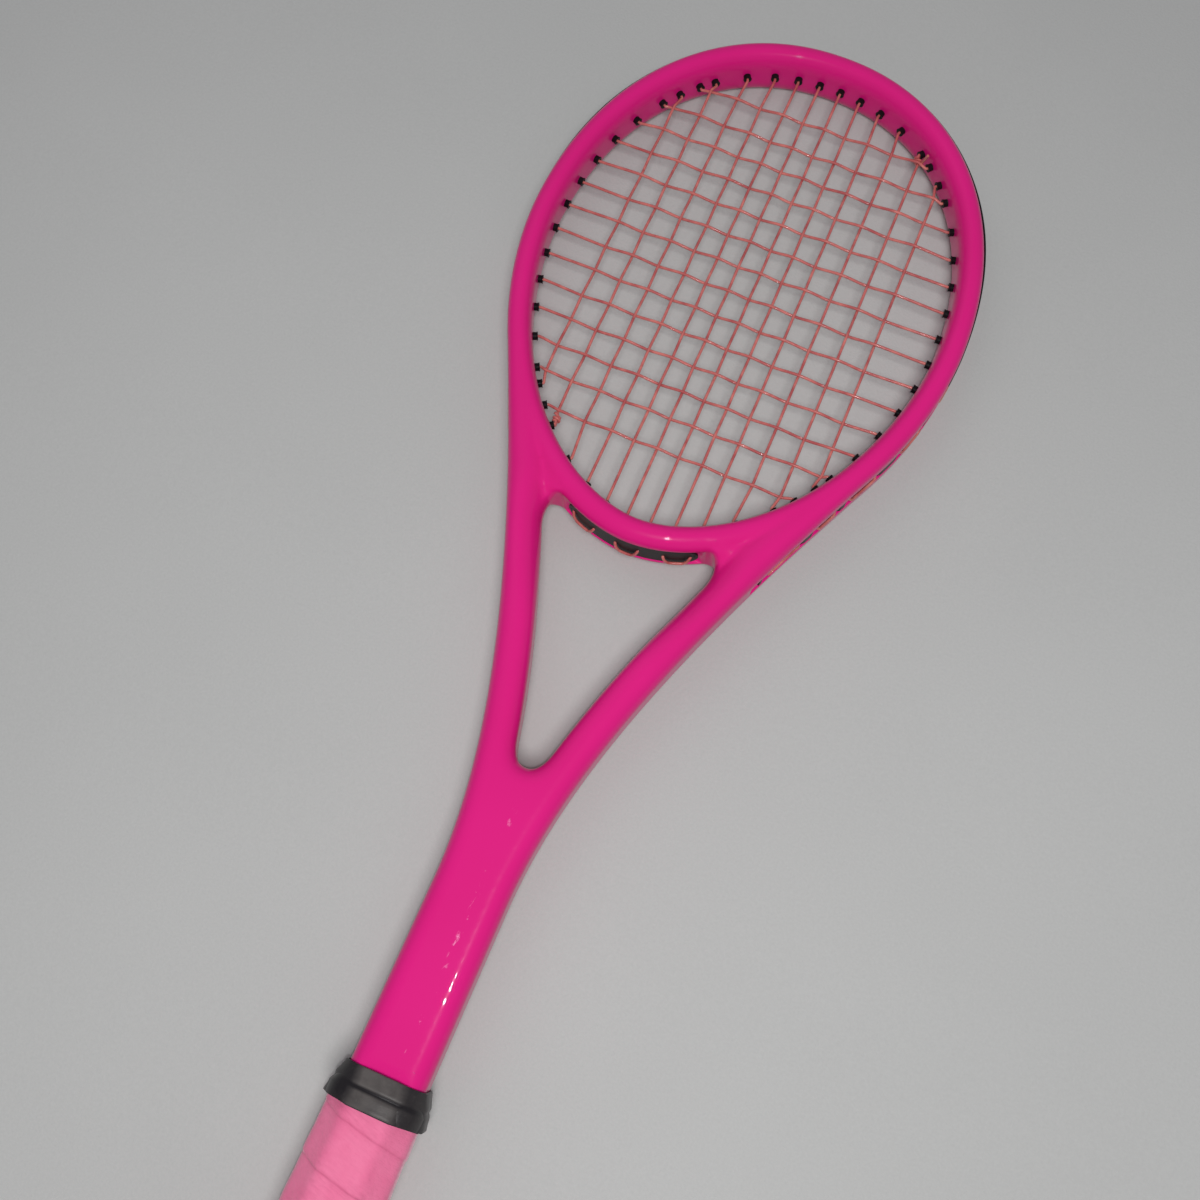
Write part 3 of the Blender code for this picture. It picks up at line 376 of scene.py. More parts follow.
@dataclass(frozen=True)
class TackyGrip:
    """Soft, finely wrinkled polyurethane of the wound grips, with painted shade in its seams and
    creases.
    """

    name: str
    colour: Colour
    # Colour that the painted shade of the seams and creases blends to.
    deep: Colour
    pale: Colour
    roughness: float = 0.5
    pores: bool = False

    def build(self) -> bpy.types.Material:
        """Make the material."""
        tree = FinishTree(self.name)
        seam = tree.add("ShaderNodeAttribute", {"attribute_name": "seam"}, None, "Fac")
        slant = tree.stretched((190, 900, 450), -14)
        wrinkles = tree.noise(1.1, 4, 0.55, slant)
        creases = tree.ramp(wrinkles, (0.28, 0.0), (0.62, 1.0))
        grain = tree.cells(1500, "DISTANCE_TO_EDGE")
        clouds = tree.ramp(tree.noise(70, 4, 0.6), (0.3, 0.0), (0.75, 1.0))
        base = tree.blend(clouds * 0.55, self.colour, self.pale)
        crease_shade_patches = tree.ramp(tree.noise(48, 2), (0.42, 0.25), (0.62, 1.0))
        # Painted shade: darker along the seams where each turn laps the next, and in the wrinkles'
        # creases, in patches.
        shade = seam * 0.4 + (1.0 - creases) * crease_shade_patches * 0.34
        if self.pores:
            shade = shade + (1.0 - tree.ramp(tree.cells(300), (0.1, 0.0), (0.2, 1.0))) * 0.8
        rough = tree.bump(wrinkles, 0.3 * MM)
        return tree.finish(
            Base_Color=tree.blend(shade, base, self.deep),
            Roughness=self.roughness + clouds * 0.12,
            Normal=tree.bump(grain, 0.03 * MM, rough),
            Sheen_Weight=0.25, Sheen_Roughness=0.4)


@dataclass(frozen=True)
class Foam:
    """Skinned polyurethane foam of the handle's inside."""

    name: str
    colour: Colour
    dark: Colour

    def build(self) -> bpy.types.Material:
        """Make the material."""
        tree = FinishTree(self.name)
        pores = tree.ramp(tree.cells(1400), (0.1, 0.0), (0.4, 1.0))
        clouds = tree.noise(120, 3)
        return tree.finish(
            Base_Color=tree.blend((1.0 - pores) * 0.6 + clouds * 0.2, self.colour, self.dark),
            Roughness=0.8 + clouds * 0.1, Normal=tree.bump(pores, 0.12 * MM))


@dataclass(frozen=True)
class Steel:
    """Drawn steel wire of the staples."""

    colour: Colour = (0.6, 0.6, 0.62, 1.0)
    dull: Colour = (0.35, 0.35, 0.37, 1.0)

    def build(self) -> bpy.types.Material:
        """Make the material."""
        tree = FinishTree("staple_steel")
        drawn = tree.noise(1.0, 3, 0.6, tree.stretched((400, 3000, 3000)))
        return tree.finish(
            Base_Color=tree.blend(drawn * 0.4, self.colour, self.dull),
            Roughness=0.25 + drawn * 0.2, Metallic=1.0, Normal=tree.bump(drawn, 0.01 * MM))


# ---------------- Geometry Nodes


class Growth(NodeTree):
    """Geometry Nodes tree with named inputs, ending in Realize Instances and Set Material."""

    def __init__(self, name: str, **inputs: str) -> None:
        """Start a tree.

        Args:
            name: Name of the tree.
            inputs: Socket type of each named input.
        """
        super().__init__(bpy.data.node_groups.new(name, "GeometryNodeTree"))
        self.inputs: dict[str, str] = {}
        face = self.tree.interface
        face.new_socket("Geometry", in_out="INPUT", socket_type="NodeSocketGeometry")
        for label, kind in {**inputs, "Finish": "NodeSocketMaterial"}.items():
            self.inputs[label] = face.new_socket(label, in_out="INPUT", socket_type=kind).identifier
        face.new_socket("Geometry", in_out="OUTPUT", socket_type="NodeSocketGeometry")
        self.source = self.tree.nodes.new("NodeGroupInput")

    def given(self, label: str) -> Signal:
        """Signal of one of the tree's inputs."""
        return Signal(self, self.source.outputs[label])

    def close(self, shape: Signal) -> Growth:
        """End the tree.

        Args:
            shape: Geometry that the tree has made.

        Returns:
            The tree itself.
        """
        real = self.add("GeometryNodeRealizeInstances", None, {0: shape})
        painted = self.add("GeometryNodeSetMaterial", None,
                           {"Geometry": real, "Material": self.given("Finish")})
        self.feed(self.tree.nodes.new("NodeGroupOutput").inputs[0], painted)
        return self

    def grow(self, name: str, seed_mesh: bpy.types.Mesh, finish: bpy.types.Material,
             **values: float | int) -> bpy.types.Mesh:
        """Run the tree on a mesh.

        Args:
            name: Name of the result.
            seed_mesh: Mesh that the tree starts from.
            finish: Material of the result.
            values: Value of each named input.

        Returns:
            The result as a plain mesh.
        """
        holder = add_object(name, seed_mesh)
        modifier = holder.modifiers.new("grow", "NODES")
        modifier.node_group = self.tree
        for label, value in {**values, "Finish": finish}.items():
            modifier[self.inputs[label]] = value
        graph = bpy.context.evaluated_depsgraph_get()
        mesh = bpy.data.meshes.new_from_object(holder.evaluated_get(graph), depsgraph=graph)
        bpy.data.objects.remove(holder)
        mesh.name = name
        return mesh


def tube_growth() -> Growth:
    """Tree that makes a round closed tube along a line.

    Returns:
        The tree, with inputs Radius and Sides.
    """
    growth = Growth("round_tube", Radius="NodeSocketFloat", Sides="NodeSocketInt")
    line = growth.add("GeometryNodeMeshToCurve", None, {"Mesh": growth.given("Geometry")})
    ring = growth.add("GeometryNodeCurvePrimitiveCircle", {"mode": "RADIUS"}, {
        "Resolution": growth.given("Sides"), "Radius": growth.given("Radius")})
    tube = growth.add("GeometryNodeCurveToMesh", None, {
        "Curve": line, "Profile Curve": ring, "Fill Caps": True})
    smooth = growth.add("GeometryNodeSetShadeSmooth", None, {"Geometry": tube})
    return growth.close(smooth)


def barrel_growth() -> Growth:
    """Tree that puts a grommet barrel with a lipped mouth on each point.

    The points carry the direction "axis" and the length "reach". A barrel is a length of tube
    with a flat ring for its wall, and a thicker ring for the lip at its mouth.

    Returns:
        The tree, with inputs Outer, Bore, Lip and Sides.
    """
    growth = Growth("grommet_barrels", Outer="NodeSocketFloat", Bore="NodeSocketFloat",
                    Lip="NodeSocketFloat", Sides="NodeSocketInt")
    outer, bore, lip = (growth.given(name) for name in ("Outer", "Bore", "Lip"))
    wall = outer - bore
    circle = growth.add("GeometryNodeCurvePrimitiveCircle", {"mode": "RADIUS"}, {
        "Resolution": growth.given("Sides"), "Radius": (outer + bore) * 0.5})
    tube_section = growth.add("GeometryNodeCurvePrimitiveQuadrilateral", {"mode": "RECTANGLE"}, {
        "Width": wall, "Height": 1.0})
    lip_section = growth.add("GeometryNodeCurvePrimitiveQuadrilateral", {"mode": "RECTANGLE"}, {
        "Width": wall + lip, "Height": lip})
    lip_section = growth.add("GeometryNodeFilletCurve", {"mode": "POLY"}, {
        "Curve": lip_section, "Count": 2, "Radius": lip * 0.4})
    tube, mouth = (growth.add("GeometryNodeCurveToMesh", None, {
        "Curve": circle, "Profile Curve": section}) for section in (tube_section, lip_section))
    reach = growth.add("GeometryNodeInputNamedAttribute", {"data_type": "FLOAT"}, {"Name": "reach"})
    axis = growth.add("GeometryNodeInputNamedAttribute", {"data_type": "FLOAT_VECTOR"},
                      {"Name": "axis"})
    turned = growth.add("FunctionNodeAlignRotationToVector", {"axis": "Z"}, {"Vector": axis})
    long = growth.add("ShaderNodeCombineXYZ", None, {0: 1.0, 1: 1.0, 2: reach})
    tubes = growth.add("GeometryNodeInstanceOnPoints", None, {
        "Points": growth.given("Geometry"), "Instance": tube, "Rotation": turned, "Scale": long})
    step = growth.add("ShaderNodeVectorMath", {"operation": "SCALE"}, {
        0: axis, "Scale": reach * 0.5})
    mouths = growth.add("GeometryNodeSetPosition", None, {
        "Geometry": growth.given("Geometry"), "Offset": step})
    lips = growth.add("GeometryNodeInstanceOnPoints", None, {
        "Points": mouths, "Instance": mouth, "Rotation": turned})
    both = growth.add("GeometryNodeJoinGeometry", None, {0: tubes})
    growth.feed(both.socket.node.inputs[0], lips)
    return growth.close(both)


def wrinkle_growth() -> Growth:
    """Tree that presses soft wrinkles into a wound grip along its normals.

    Returns:
        The tree, with inputs Scale, Depth and Seed.
    """
    growth = Growth("grip_wrinkles", Scale="NodeSocketFloat", Depth="NodeSocketFloat",
                    Seed="NodeSocketFloat")
    where = growth.add("GeometryNodeInputPosition")
    slanted = growth.add("ShaderNodeVectorRotate", {"rotation_type": "Z_AXIS"}, {
        "Vector": where, "Angle": math.radians(24)})
    squeezed = growth.add("ShaderNodeVectorMath", {"operation": "MULTIPLY"}, {
        0: slanted, 1: (0.45, 1.6, 0.8)})
    noise = growth.add("ShaderNodeTexNoise", {"noise_dimensions": "4D"}, {
        "Vector": squeezed, "W": growth.given("Seed"), "Scale": growth.given("Scale"),
        "Detail": 2.0, "Roughness": 0.5})
    give = growth.add("GeometryNodeInputNamedAttribute", {"data_type": "FLOAT"}, {"Name": "give"})
    normal = growth.add("GeometryNodeInputNormal")
    step = growth.add("ShaderNodeVectorMath", {"operation": "SCALE"}, {
        0: normal, "Scale": (noise - 0.75) * give * growth.given("Depth")})
    moved = growth.add("GeometryNodeSetPosition", None, {
        "Geometry": growth.given("Geometry"), "Offset": step})
    return growth.close(moved)


# ---------------- meshes and lines


def add_object(name: str, data: bpy.types.ID) -> bpy.types.Object:
    """New object in the scene."""
    item = bpy.data.objects.new(name, data)
    bpy.context.scene.collection.objects.link(item)
    return item


def smooth_step(share: Point) -> Point:
    """Share of a change that starts and ends softly."""
    share = np.clip(share, 0, 1)
    return share * share * (3 - 2 * share)


def unit(vector: Point) -> Point:
    """The vector at length one."""
    return vector / np.linalg.norm(vector)


def solve(function: Callable[[float], float], low: float, high: float) -> float:
    """Root of a function that changes sign.

    Args:
        function: The function.
        low: Value below the root.
        high: Value above the root.

    Returns:
        The root.
    """
    rising = function(high) > function(low)
    for _ in range(60):
        middle = (low + high) / 2
        if (function(middle) > 0) == rising:
            high = middle
        else:
            low = middle
    return (low + high) / 2


def bezier(start: Point, lead: Point, trail: Point, end: Point, count: int) -> Point:
    """Points along a cubic curve.

    Args:
        start: Its first point.
        lead: Handle of the first point.
        trail: Handle of the last point.
        end: Its last point.
        count: Number of points, both ends included.

    Returns:
        The points.
    """
    t = np.linspace(0, 1, count)[:, None]
    return (start * (1 - t) ** 3 + lead * 3 * t * (1 - t) ** 2
            + trail * 3 * t ** 2 * (1 - t) + end * t ** 3)


def away_from(points: Point, line: Point) -> Point:
    """Distance of each point from an unbroken line.

    Args:
        points: Places in the racket's plane.
        line: Corners of the line in order.

    Returns:
        One distance for each place.
    """
    gaps = []
    for start in range(0, len(points), 1500):
        block = points[start:start + 1500]
        corner = ((block[:, None, :] - line[None, :, :]) ** 2).sum(axis=2).argmin(axis=1)
        both = []
        for other in (corner - 1, corner + 1):
            step = line[np.clip(other, 0, len(line) - 1)] - line[corner]
            from_corner = block - line[corner]
            share = (from_corner * step).sum(axis=1) / np.maximum((step ** 2).sum(axis=1), 1e-18)
            both.append(np.linalg.norm(from_corner - step * np.clip(share, 0, 1)[:, None], axis=1))
        gaps.append(np.minimum(*both))
    return np.concatenate(gaps)


def inside(points: Point, outline: Point) -> Point:
    """Whether each point lies inside a closed outline.

    Args:
        points: Places in the racket's plane.
        outline: Corners of the outline in order.

    Returns:
        One truth value for each place.
    """
    x, y = points[:, 0], points[:, 1]
    result = np.zeros(len(points), bool)
    for a, b in zip(outline, np.roll(outline, -1, axis=0)):
        if a[1] == b[1]:
            continue
        between = (a[1] > y) != (b[1] > y)
        result ^= between & (x < (b[0] - a[0]) * (y - a[1]) / (b[1] - a[1]) + a[0])
    return result


class Path:
    """Flat line measured along its length, with normals on one side."""

    def __init__(self, points: Sequence[Point], side: int) -> None:
        """Measure the line.

        Args:
            points: Its corners in order.
            side: +1 for normals to the left of its run, -1 for the right.
        """
        self.points = np.array(points)
        self.side = side
        steps = np.linalg.norm(np.diff(self.points, axis=0), axis=1)
        self.lengths = np.concatenate(((0.0,), np.cumsum(steps)))
        self.length = float(self.lengths[-1])

    def point(self, s: float) -> Point:
        """Point at distance s from the start."""
        return np.array([np.interp(s, self.lengths, self.points[:, k]) for k in (0, 1)])

    def normal(self, s: float) -> Point:
        """Normal at distance s, taken over a short stretch."""
        low, high = max(0.0, s - NORMAL_REACH), min(self.length, s + NORMAL_REACH)
        along = unit(self.point(high) - self.point(low))
        return self.side * np.array((-along[1], along[0]))


def band(low: int, high: int, size: int) -> list[tuple[int, ...]]:
    """Faces between two rings of corners that start at the numbers low and high."""
    return [(low + i, low + (i + 1) % size, high + (i + 1) % size, high + i) for i in range(size)]


def skin(rings: Sequence[Ring], wrap: bool = False) -> bpy.types.Mesh:
    """Mesh through rings of equal size.

    Args:
        rings: The rings, each a list of corners.
        wrap: Join the last ring to the first instead of capping both.

    Returns:
        A closed mesh with its faces outwards.
    """
    size = len(rings[0])
    corners = [point for ring in rings for point in ring]
    faces = []
    for k in range(len(rings) if wrap else len(rings) - 1):
        faces += band(k * size, (k + 1) % len(rings) * size, size)
    if not wrap:
        faces += [tuple(range(size))[::-1], tuple(range(len(corners) - size, len(corners)))]
    return cleaned(corners, faces)


def cleaned(corners: Sequence[Corner], faces: Sequence[tuple[int, ...]]) -> bpy.types.Mesh:
    """Mesh with its doubles merged and its faces turned outwards.

    Args:
        corners: Places of its corners.
        faces: Numbers of each face's corners.

    Returns:
        The mesh.
    """
    mesh = bpy.data.meshes.new("piece")
    mesh.from_pydata(corners, [], faces)
    shape = bmesh.new()
    shape.from_mesh(mesh)
    bmesh.ops.remove_doubles(shape, verts=shape.verts, dist=TINY)
    bmesh.ops.dissolve_degenerate(shape, dist=TINY, edges=shape.edges)
    bmesh.ops.recalc_face_normals(shape, faces=shape.faces)
    shape.to_mesh(mesh)
    shape.free()
    return mesh


def joined(meshes: Sequence[bpy.types.Mesh]) -> bpy.types.Mesh:
    """Several meshes as one.

    Args:
        meshes: The meshes.

    Returns:
        A new mesh with all their faces.
    """
    shape = bmesh.new()
    for mesh in meshes:
        shape.from_mesh(mesh)
    result = bpy.data.meshes.new("joined")
    shape.to_mesh(result)
    shape.free()
    return result


def place(name: str, mesh: bpy.types.Mesh, finish: bpy.types.Material,
          body: str = "racket", replaced: Sequence[str] = (), crease: float = 35.0) -> None:
    """Put a finished piece in the scene.

    Args:
        name: Name of the piece.
        mesh: Its mesh, in place.
        finish: Its material.
        body: CAD body that it rides on.
        replaced: CAD nodes that it stands for.
        crease: Angle in degrees past which an edge stays sharp.
    """
    mesh.name = name
    mesh.materials.clear()
    mesh.materials.append(finish)
    mesh.shade_smooth()
    mesh.set_sharp_from_angle(angle=math.radians(crease))
    piece = add_object(name, mesh)
    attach(piece, body)
    if replaced:
        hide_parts(*replaced)
    log.info("%s: %d faces on %s", name, len(mesh.polygons), body)


# ---------------- lines of the racket


class Run(Enum):
    """Where a string hole comes out."""

    RIM = "rim"
    BRIDGE = "bridge"


class Strand(Enum):
    """The two kinds of string in the bed."""

    MAIN = "main"
    CROSS = "cross"


@dataclass
class RacketLines:
    """Outlines that every piece follows, with the CAD source's driving dimensions."""

    length: float = 684.4 * MM
    head_width: float = 195 * MM
    hoop_width: float = 10.4 * MM
    bridge_width: float = 10.6 * MM
    arm_width: float = 14.4 * MM
    beam_height: float = 24 * MM
    shaft_width: float = 29.2 * MM
    string_area_length: float = 232.2 * MM
    widest_below_tip: float = 109.8 * MM
    top_roundness: float = 2.13
    bottom_roundness: float = 1.84
    arm_leaves_hoop: float = 67 * MM
    arm_straight_reach: float = 115 * MM
    shaft_straight_reach: float = 48 * MM
    shaft_straight_end: float = 282.5 * MM
    crotch_radius: float = 7.8 * MM
    crotch_depth: float = 10.4 * MM
    corner_drop: float = 12 * MM
    groove_height: float = 7.4 * MM
    groove_depth: float = 2.4 * MM
    groove_slope: float = 0.4 * MM
    groove_past: float = 5.4 * MM
    recess_height: float = 13.2 * MM
    recess_depth: float = 1.5 * MM
    strip_end: float = 3 * MM
    arc_end: float = 1.2 * MM
    clearance: float = 0.3 * MM
    barrel_reach: float = 1.9 * MM
    mouth_gap: float = 0.8 * MM
    line_share: float = 0.3
    strip_thickness: float = 0.9 * MM
    string_diameter: float = 1.25 * MM
    weave_gap: float = 0.06 * MM
    main_shares: tuple = (0.0574, 0.1722, 0.2928, 0.4271, 0.5695, 0.7107)
    bridge_mains: int = 3
    cross_count: int = 14
    cross_end_share: float = 1.14
    top_cross_share: float = 0.79
    bottom_cross_share: float = 0.717
    pallet_width: float = 29.2 * MM
    pallet_height: float = 25.4 * MM
    pallet_bevel: float = 8 * MM
    pallet_start: float = 3.5 * MM
    pallet_length: float = 201.8 * MM
    core_width: float = 20 * MM
    core_height: float = 14 * MM
    shoulder: float = 7 * MM
    collar_overlap: float = 3.5 * MM
    collar_height: float = 12.8 * MM

    def __post_init__(self) -> None:
        """Work out the places that follow from the dimensions."""
        self.head_centre = self.length - self.hoop_width - self.widest_below_tip
        self.opening_half = self.head_width / 2 - self.hoop_width
        self.opening_bottom = self.string_area_length - self.widest_below_tip
        self.pallet_end = self.pallet_start + self.pallet_length
        self.grip_end = self.pallet_end - 0.5 * MM
        self.collar_bottom = self.grip_end - self.collar_overlap
        self.core_shoulder = self.pallet_end + self.shoulder
        self.face_end = self.collar_bottom + self.collar_height + 0.5 * MM
        outer_main = self.main_shares[self.bridge_mains - 1] * self.opening_half
        self.strip_half = outer_main + self.strip_end
        self.recess_half = self.strip_half + 1.5 * self.clearance
        self.arc_half = self.recess_half + self.arc_end
        self.string_offset = (self.string_diameter + self.weave_gap) / 2
        self.rim, self.leave_index = self.right_outline()
        self.arm_start = float(self.rim.lengths[self.leave_index])

    def opening_point(self, angle: float) -> tuple[Point, Point]:
        """Point on the string opening's outline.

        Args:
            angle: Angle round the head's centre, 0 to the right.

        Returns:
            The point and its normal, pointing into the hoop.
        """
        cos, sin = math.cos(angle), math.sin(angle)
        power, reach = self.top_roundness, self.widest_below_tip
        if sin < 0:
            power, reach = self.bottom_roundness, self.opening_bottom
        x = math.copysign(abs(cos) ** (2 / power), cos)
        y = math.copysign(abs(sin) ** (2 / power), sin)
        slope_x = math.copysign(abs(x) ** (power - 1), x) / self.opening_half
        slope_y = math.copysign(abs(y) ** (power - 1), y) / reach
        point = np.array((x * self.opening_half, self.head_centre + y * reach))
        return point, unit(np.array((slope_x, slope_y)))

    def offset_opening(self, angle: float, distance: float) -> Point:
        """Point at a distance outside the string opening."""
        point, normal = self.opening_point(angle)
        return point + normal * distance

    def right_outline(self) -> tuple[Path, int]:
        """Outside of the frame from the tip down the right side to the shaft.

        Returns:
            The line, and the number of its point at which the arm leaves the hoop.
        """
        leave_y = self.head_centre - self.arm_leaves_hoop
        leave = solve(lambda a: self.offset_opening(a, self.hoop_width)[1] - leave_y, -1.2, 0.5)
        hoop = [self.offset_opening(a, self.hoop_width)
                for a in np.linspace(math.pi / 2, leave, 400)]
        normal = self.opening_point(leave)[1]
        down = np.array((normal[1], -normal[0]))
        shaft = np.array((self.shaft_width / 2, self.shaft_straight_end))
        arm = bezier(hoop[-1], hoop[-1] + down * self.arm_straight_reach,
                     shaft + np.array((0, self.shaft_straight_reach)), shaft, 320)
        return Path(hoop + list(arm[1:]), 1), len(hoop) - 1

    def rim_at(self, s: float) -> tuple[Point, Point]:
        """Place on the frame's outside.

        Args:
            s: Distance from the tip, positive down the right side.

        Returns:
            The point and its outward normal.
        """
        point, normal = self.rim.point(abs(s)), self.rim.normal(abs(s))
        if s < 0:
            point, normal = point * (-1, 1), normal * (-1, 1)
        return point, normal

    def bridge_at(self, x: float) -> tuple[Point, Point]:
        """Point and outward normal of the bridge's throat side at a distance from the axis."""
        angle = solve(lambda a: self.offset_opening(a, self.bridge_width)[0] - x,
                      -math.pi * 0.85, -math.pi * 0.15)
        return self.offset_opening(angle, self.bridge_width), self.opening_point(angle)[1]

    def throat_half(self) -> list[Point]:
        """Right half of the throat opening.

        Returns:
            Its points from the middle of the bridge to the crotch.
        """
        bridge = [self.bridge_at(x)[0] for x in np.linspace(0, self.recess_half, 24)]
        bridge.append(self.bridge_at(self.arc_half)[0])
        normal = self.bridge_at(self.arc_half)[1]
        along = np.array((-normal[1], normal[0]))
        side_top = bridge[-1][1] - self.corner_drop
        side = []
        for s in np.linspace(self.arm_start, self.rim.length, 200):
            point = self.rim.point(s) - self.rim.normal(s) * self.arm_width
            if point[1] <= side_top and point[0] >= self.crotch_radius:
                side.append(point)
        sides = Path(side, 1)
        side = [sides.point(s) for s in np.linspace(0, sides.length, 50)]
        rise, fall = unit(side[0] - side[3]), unit(side[-1] - side[-4])
        corner = bezier(bridge[-1], bridge[-1] + along * self.corner_drop * 0.56,
                        side[0] + rise * self.corner_drop * 0.72, side[0], 16)
        bottom = np.array((0.0, side[-1][1] - self.crotch_depth))
        crotch = bezier(side[-1], side[-1] + fall * self.crotch_depth * 0.62,
                        bottom + np.array((self.crotch_radius * 0.56, 0)), bottom, 16)
        return bridge + list(corner[1:-1]) + side + list(crotch[1:])

    def even_opening(self, count: int) -> Point:
        """Points spaced evenly round the string opening."""
        fine = [self.opening_point(a)[0] for a in np.linspace(0, 2 * math.pi, 2881)]
        path = Path(fine, 1)
        return np.array([path.point(path.length * k / count) for k in range(count)])

    def main_places(self) -> list[float]:
        """Distances of the mains from the axis, left to right."""
        right = [share * self.opening_half for share in self.main_shares]
        return [-x for x in reversed(right)] + right

    def cross_places(self) -> list[float]:
        """Heights of the crosses along the racket.

        Returns:
            The heights from the tip down.
        """
        spaces = [self.cross_end_share] + [1.0] * (self.cross_count - 3) + [self.cross_end_share]
        reach = (self.top_cross_share * self.widest_below_tip
                 + self.bottom_cross_share * self.opening_bottom)
        heights = [self.head_centre + self.top_cross_share * self.widest_below_tip]
        for space in spaces:
            heights.append(heights[-1] - space * reach / sum(spaces))
        return heights

    def string_holes(self) -> Holes:
        """Every hole in the frame.

        Returns:
            The holes by kind, number and end of the strand.
        """
        holes: Holes = {}
        mains, quarter = self.main_places(), math.pi / 2
        for number, x in enumerate(mains, 1):
            outer = quarter - math.copysign(quarter * 0.98, x)
            low = abs(number - len(mains) / 2 - 0.5) < self.bridge_mains
            tied = number == len(mains) - 1
            holes["main", number, "top"] = Hole(self, (0.0, 1.0), x, quarter, outer, Run.RIM, tied)
            holes["main", number, "bottom"] = Hole(self, (0.0, -1.0), x, -quarter, -outer,
                                                   Run.BRIDGE if low else Run.RIM, number == 2)
        for number, y in enumerate(self.cross_places(), 1):
            reach = quarter * 0.9
            for side, pull, middle in (("right", 1.0, 0.0), ("left", -1.0, math.pi)):
                holes["cross", number, side] = Hole(self, (pull, 0.0), y, middle - reach,
                                                    middle + reach)
        return holes


class Hole:
    """One string hole: where the string leaves the opening and where it comes out."""

    def __init__(self, lines: RacketLines, pull: tuple, value: float, low: float, high: float,
                 run: Run = Run.RIM, tied: bool = False) -> None:
        """Find the hole's axis.

        Args:
            lines: The racket's lines.
            pull: Direction of the strand, out of the opening.
            value: Place of the strand across its direction.
            low: Angle of the opening on one side of the hole.
            high: Angle on its other side.
            run: Where the hole comes out.
            tied: Whether a knot's tail shares the hole.
        """
        self.lines, self.run, self.tied = lines, run, tied
        inside_by = lines.barrel_reach + lines.mouth_gap
        self.axis = np.array(pull)
        level = 0 if pull[1] else 1
        for _ in range(FITTING_ROUNDS):
            def miss(angle: float, axis: Point = self.axis) -> float:
                """Distance of the hole's line from the strand's."""
                share = axis * inside_by * lines.line_share
                return (lines.opening_point(angle)[0] - share)[level] - value
            self.wall, normal = lines.opening_point(solve(miss, low, high))
            if run is Run.BRIDGE:
                break
            self.along = self.exit_along()
            self.axis = unit(normal + lines.rim_at(self.along)[1])
        if run is Run.BRIDGE:
            self.along = float(self.wall[0])
            self.depth = lines.recess_depth
            outer, outward = lines.bridge_at(self.along)
        else:
            self.along = self.exit_along()
            self.depth = lines.groove_depth
            outer, outward = lines.rim_at(self.along)
        self.slant = float(np.dot(outward, self.axis))
        self.floor = outer - self.axis * self.depth / self.slant
        self.mouth = self.wall - self.axis * inside_by

    def exit_along(self) -> float:
        """Place at which the hole's axis comes out.

        Returns:
            Distance along the rim, negative on the left side.
        """
        across = np.array((-self.axis[1], self.axis[0]))
        side = 1 if self.wall[0] > 0 else -1

        def miss(s: float) -> float:
            """Distance of the rim's point from the hole's axis."""
            return float(np.dot(self.lines.rim_at(side * s)[0] - self.wall, across))

        def cost(s: float) -> float:
            """The same, which prefers the nearer of the two places."""
            return abs(miss(s)) + np.linalg.norm(self.lines.rim_at(side * s)[0] - self.wall) / 4

        best = min(np.linspace(0, self.lines.rim.length, 90), key=cost)
        return side * solve(miss, max(0.0, best - 12 * MM), best + 12 * MM)


Holes = dict[tuple[str, int, str], Hole]


def corner_loop(width: float, height: float, corner: float, steps: int, y: float,
                flat: float = 0.0) -> Ring:
    """Rectangle with softened corners, square to the racket's axis.

    Args:
        width: Size along X.
        height: Size along Z.
        corner: Size of the corners.
        steps: Faces in each corner.
        y: Place along the racket.
        flat: Share by which the corners are cut flat instead of arced.

    Returns:
        The loop's points.
    """
    loop = []
    for k, (sx, sz) in enumerate(((1, 1), (-1, 1), (-1, -1), (1, -1))):
        first, last = math.pi / 2 * k, math.pi / 2 * (k + 1)
        for share in np.linspace(0, 1, steps + 1):
            angle = first + (last - first) * share
            chord = [f(first) * (1 - share) + f(last) * share for f in (math.cos, math.sin)]
            across = math.cos(angle) * (1 - flat) + chord[0] * flat
            up = math.sin(angle) * (1 - flat) + chord[1] * flat
            loop.append((sx * (width / 2 - corner) + corner * across, y,
                         sz * (height / 2 - corner) + corner * up))
    return loop


# ---------------- the moulded frame


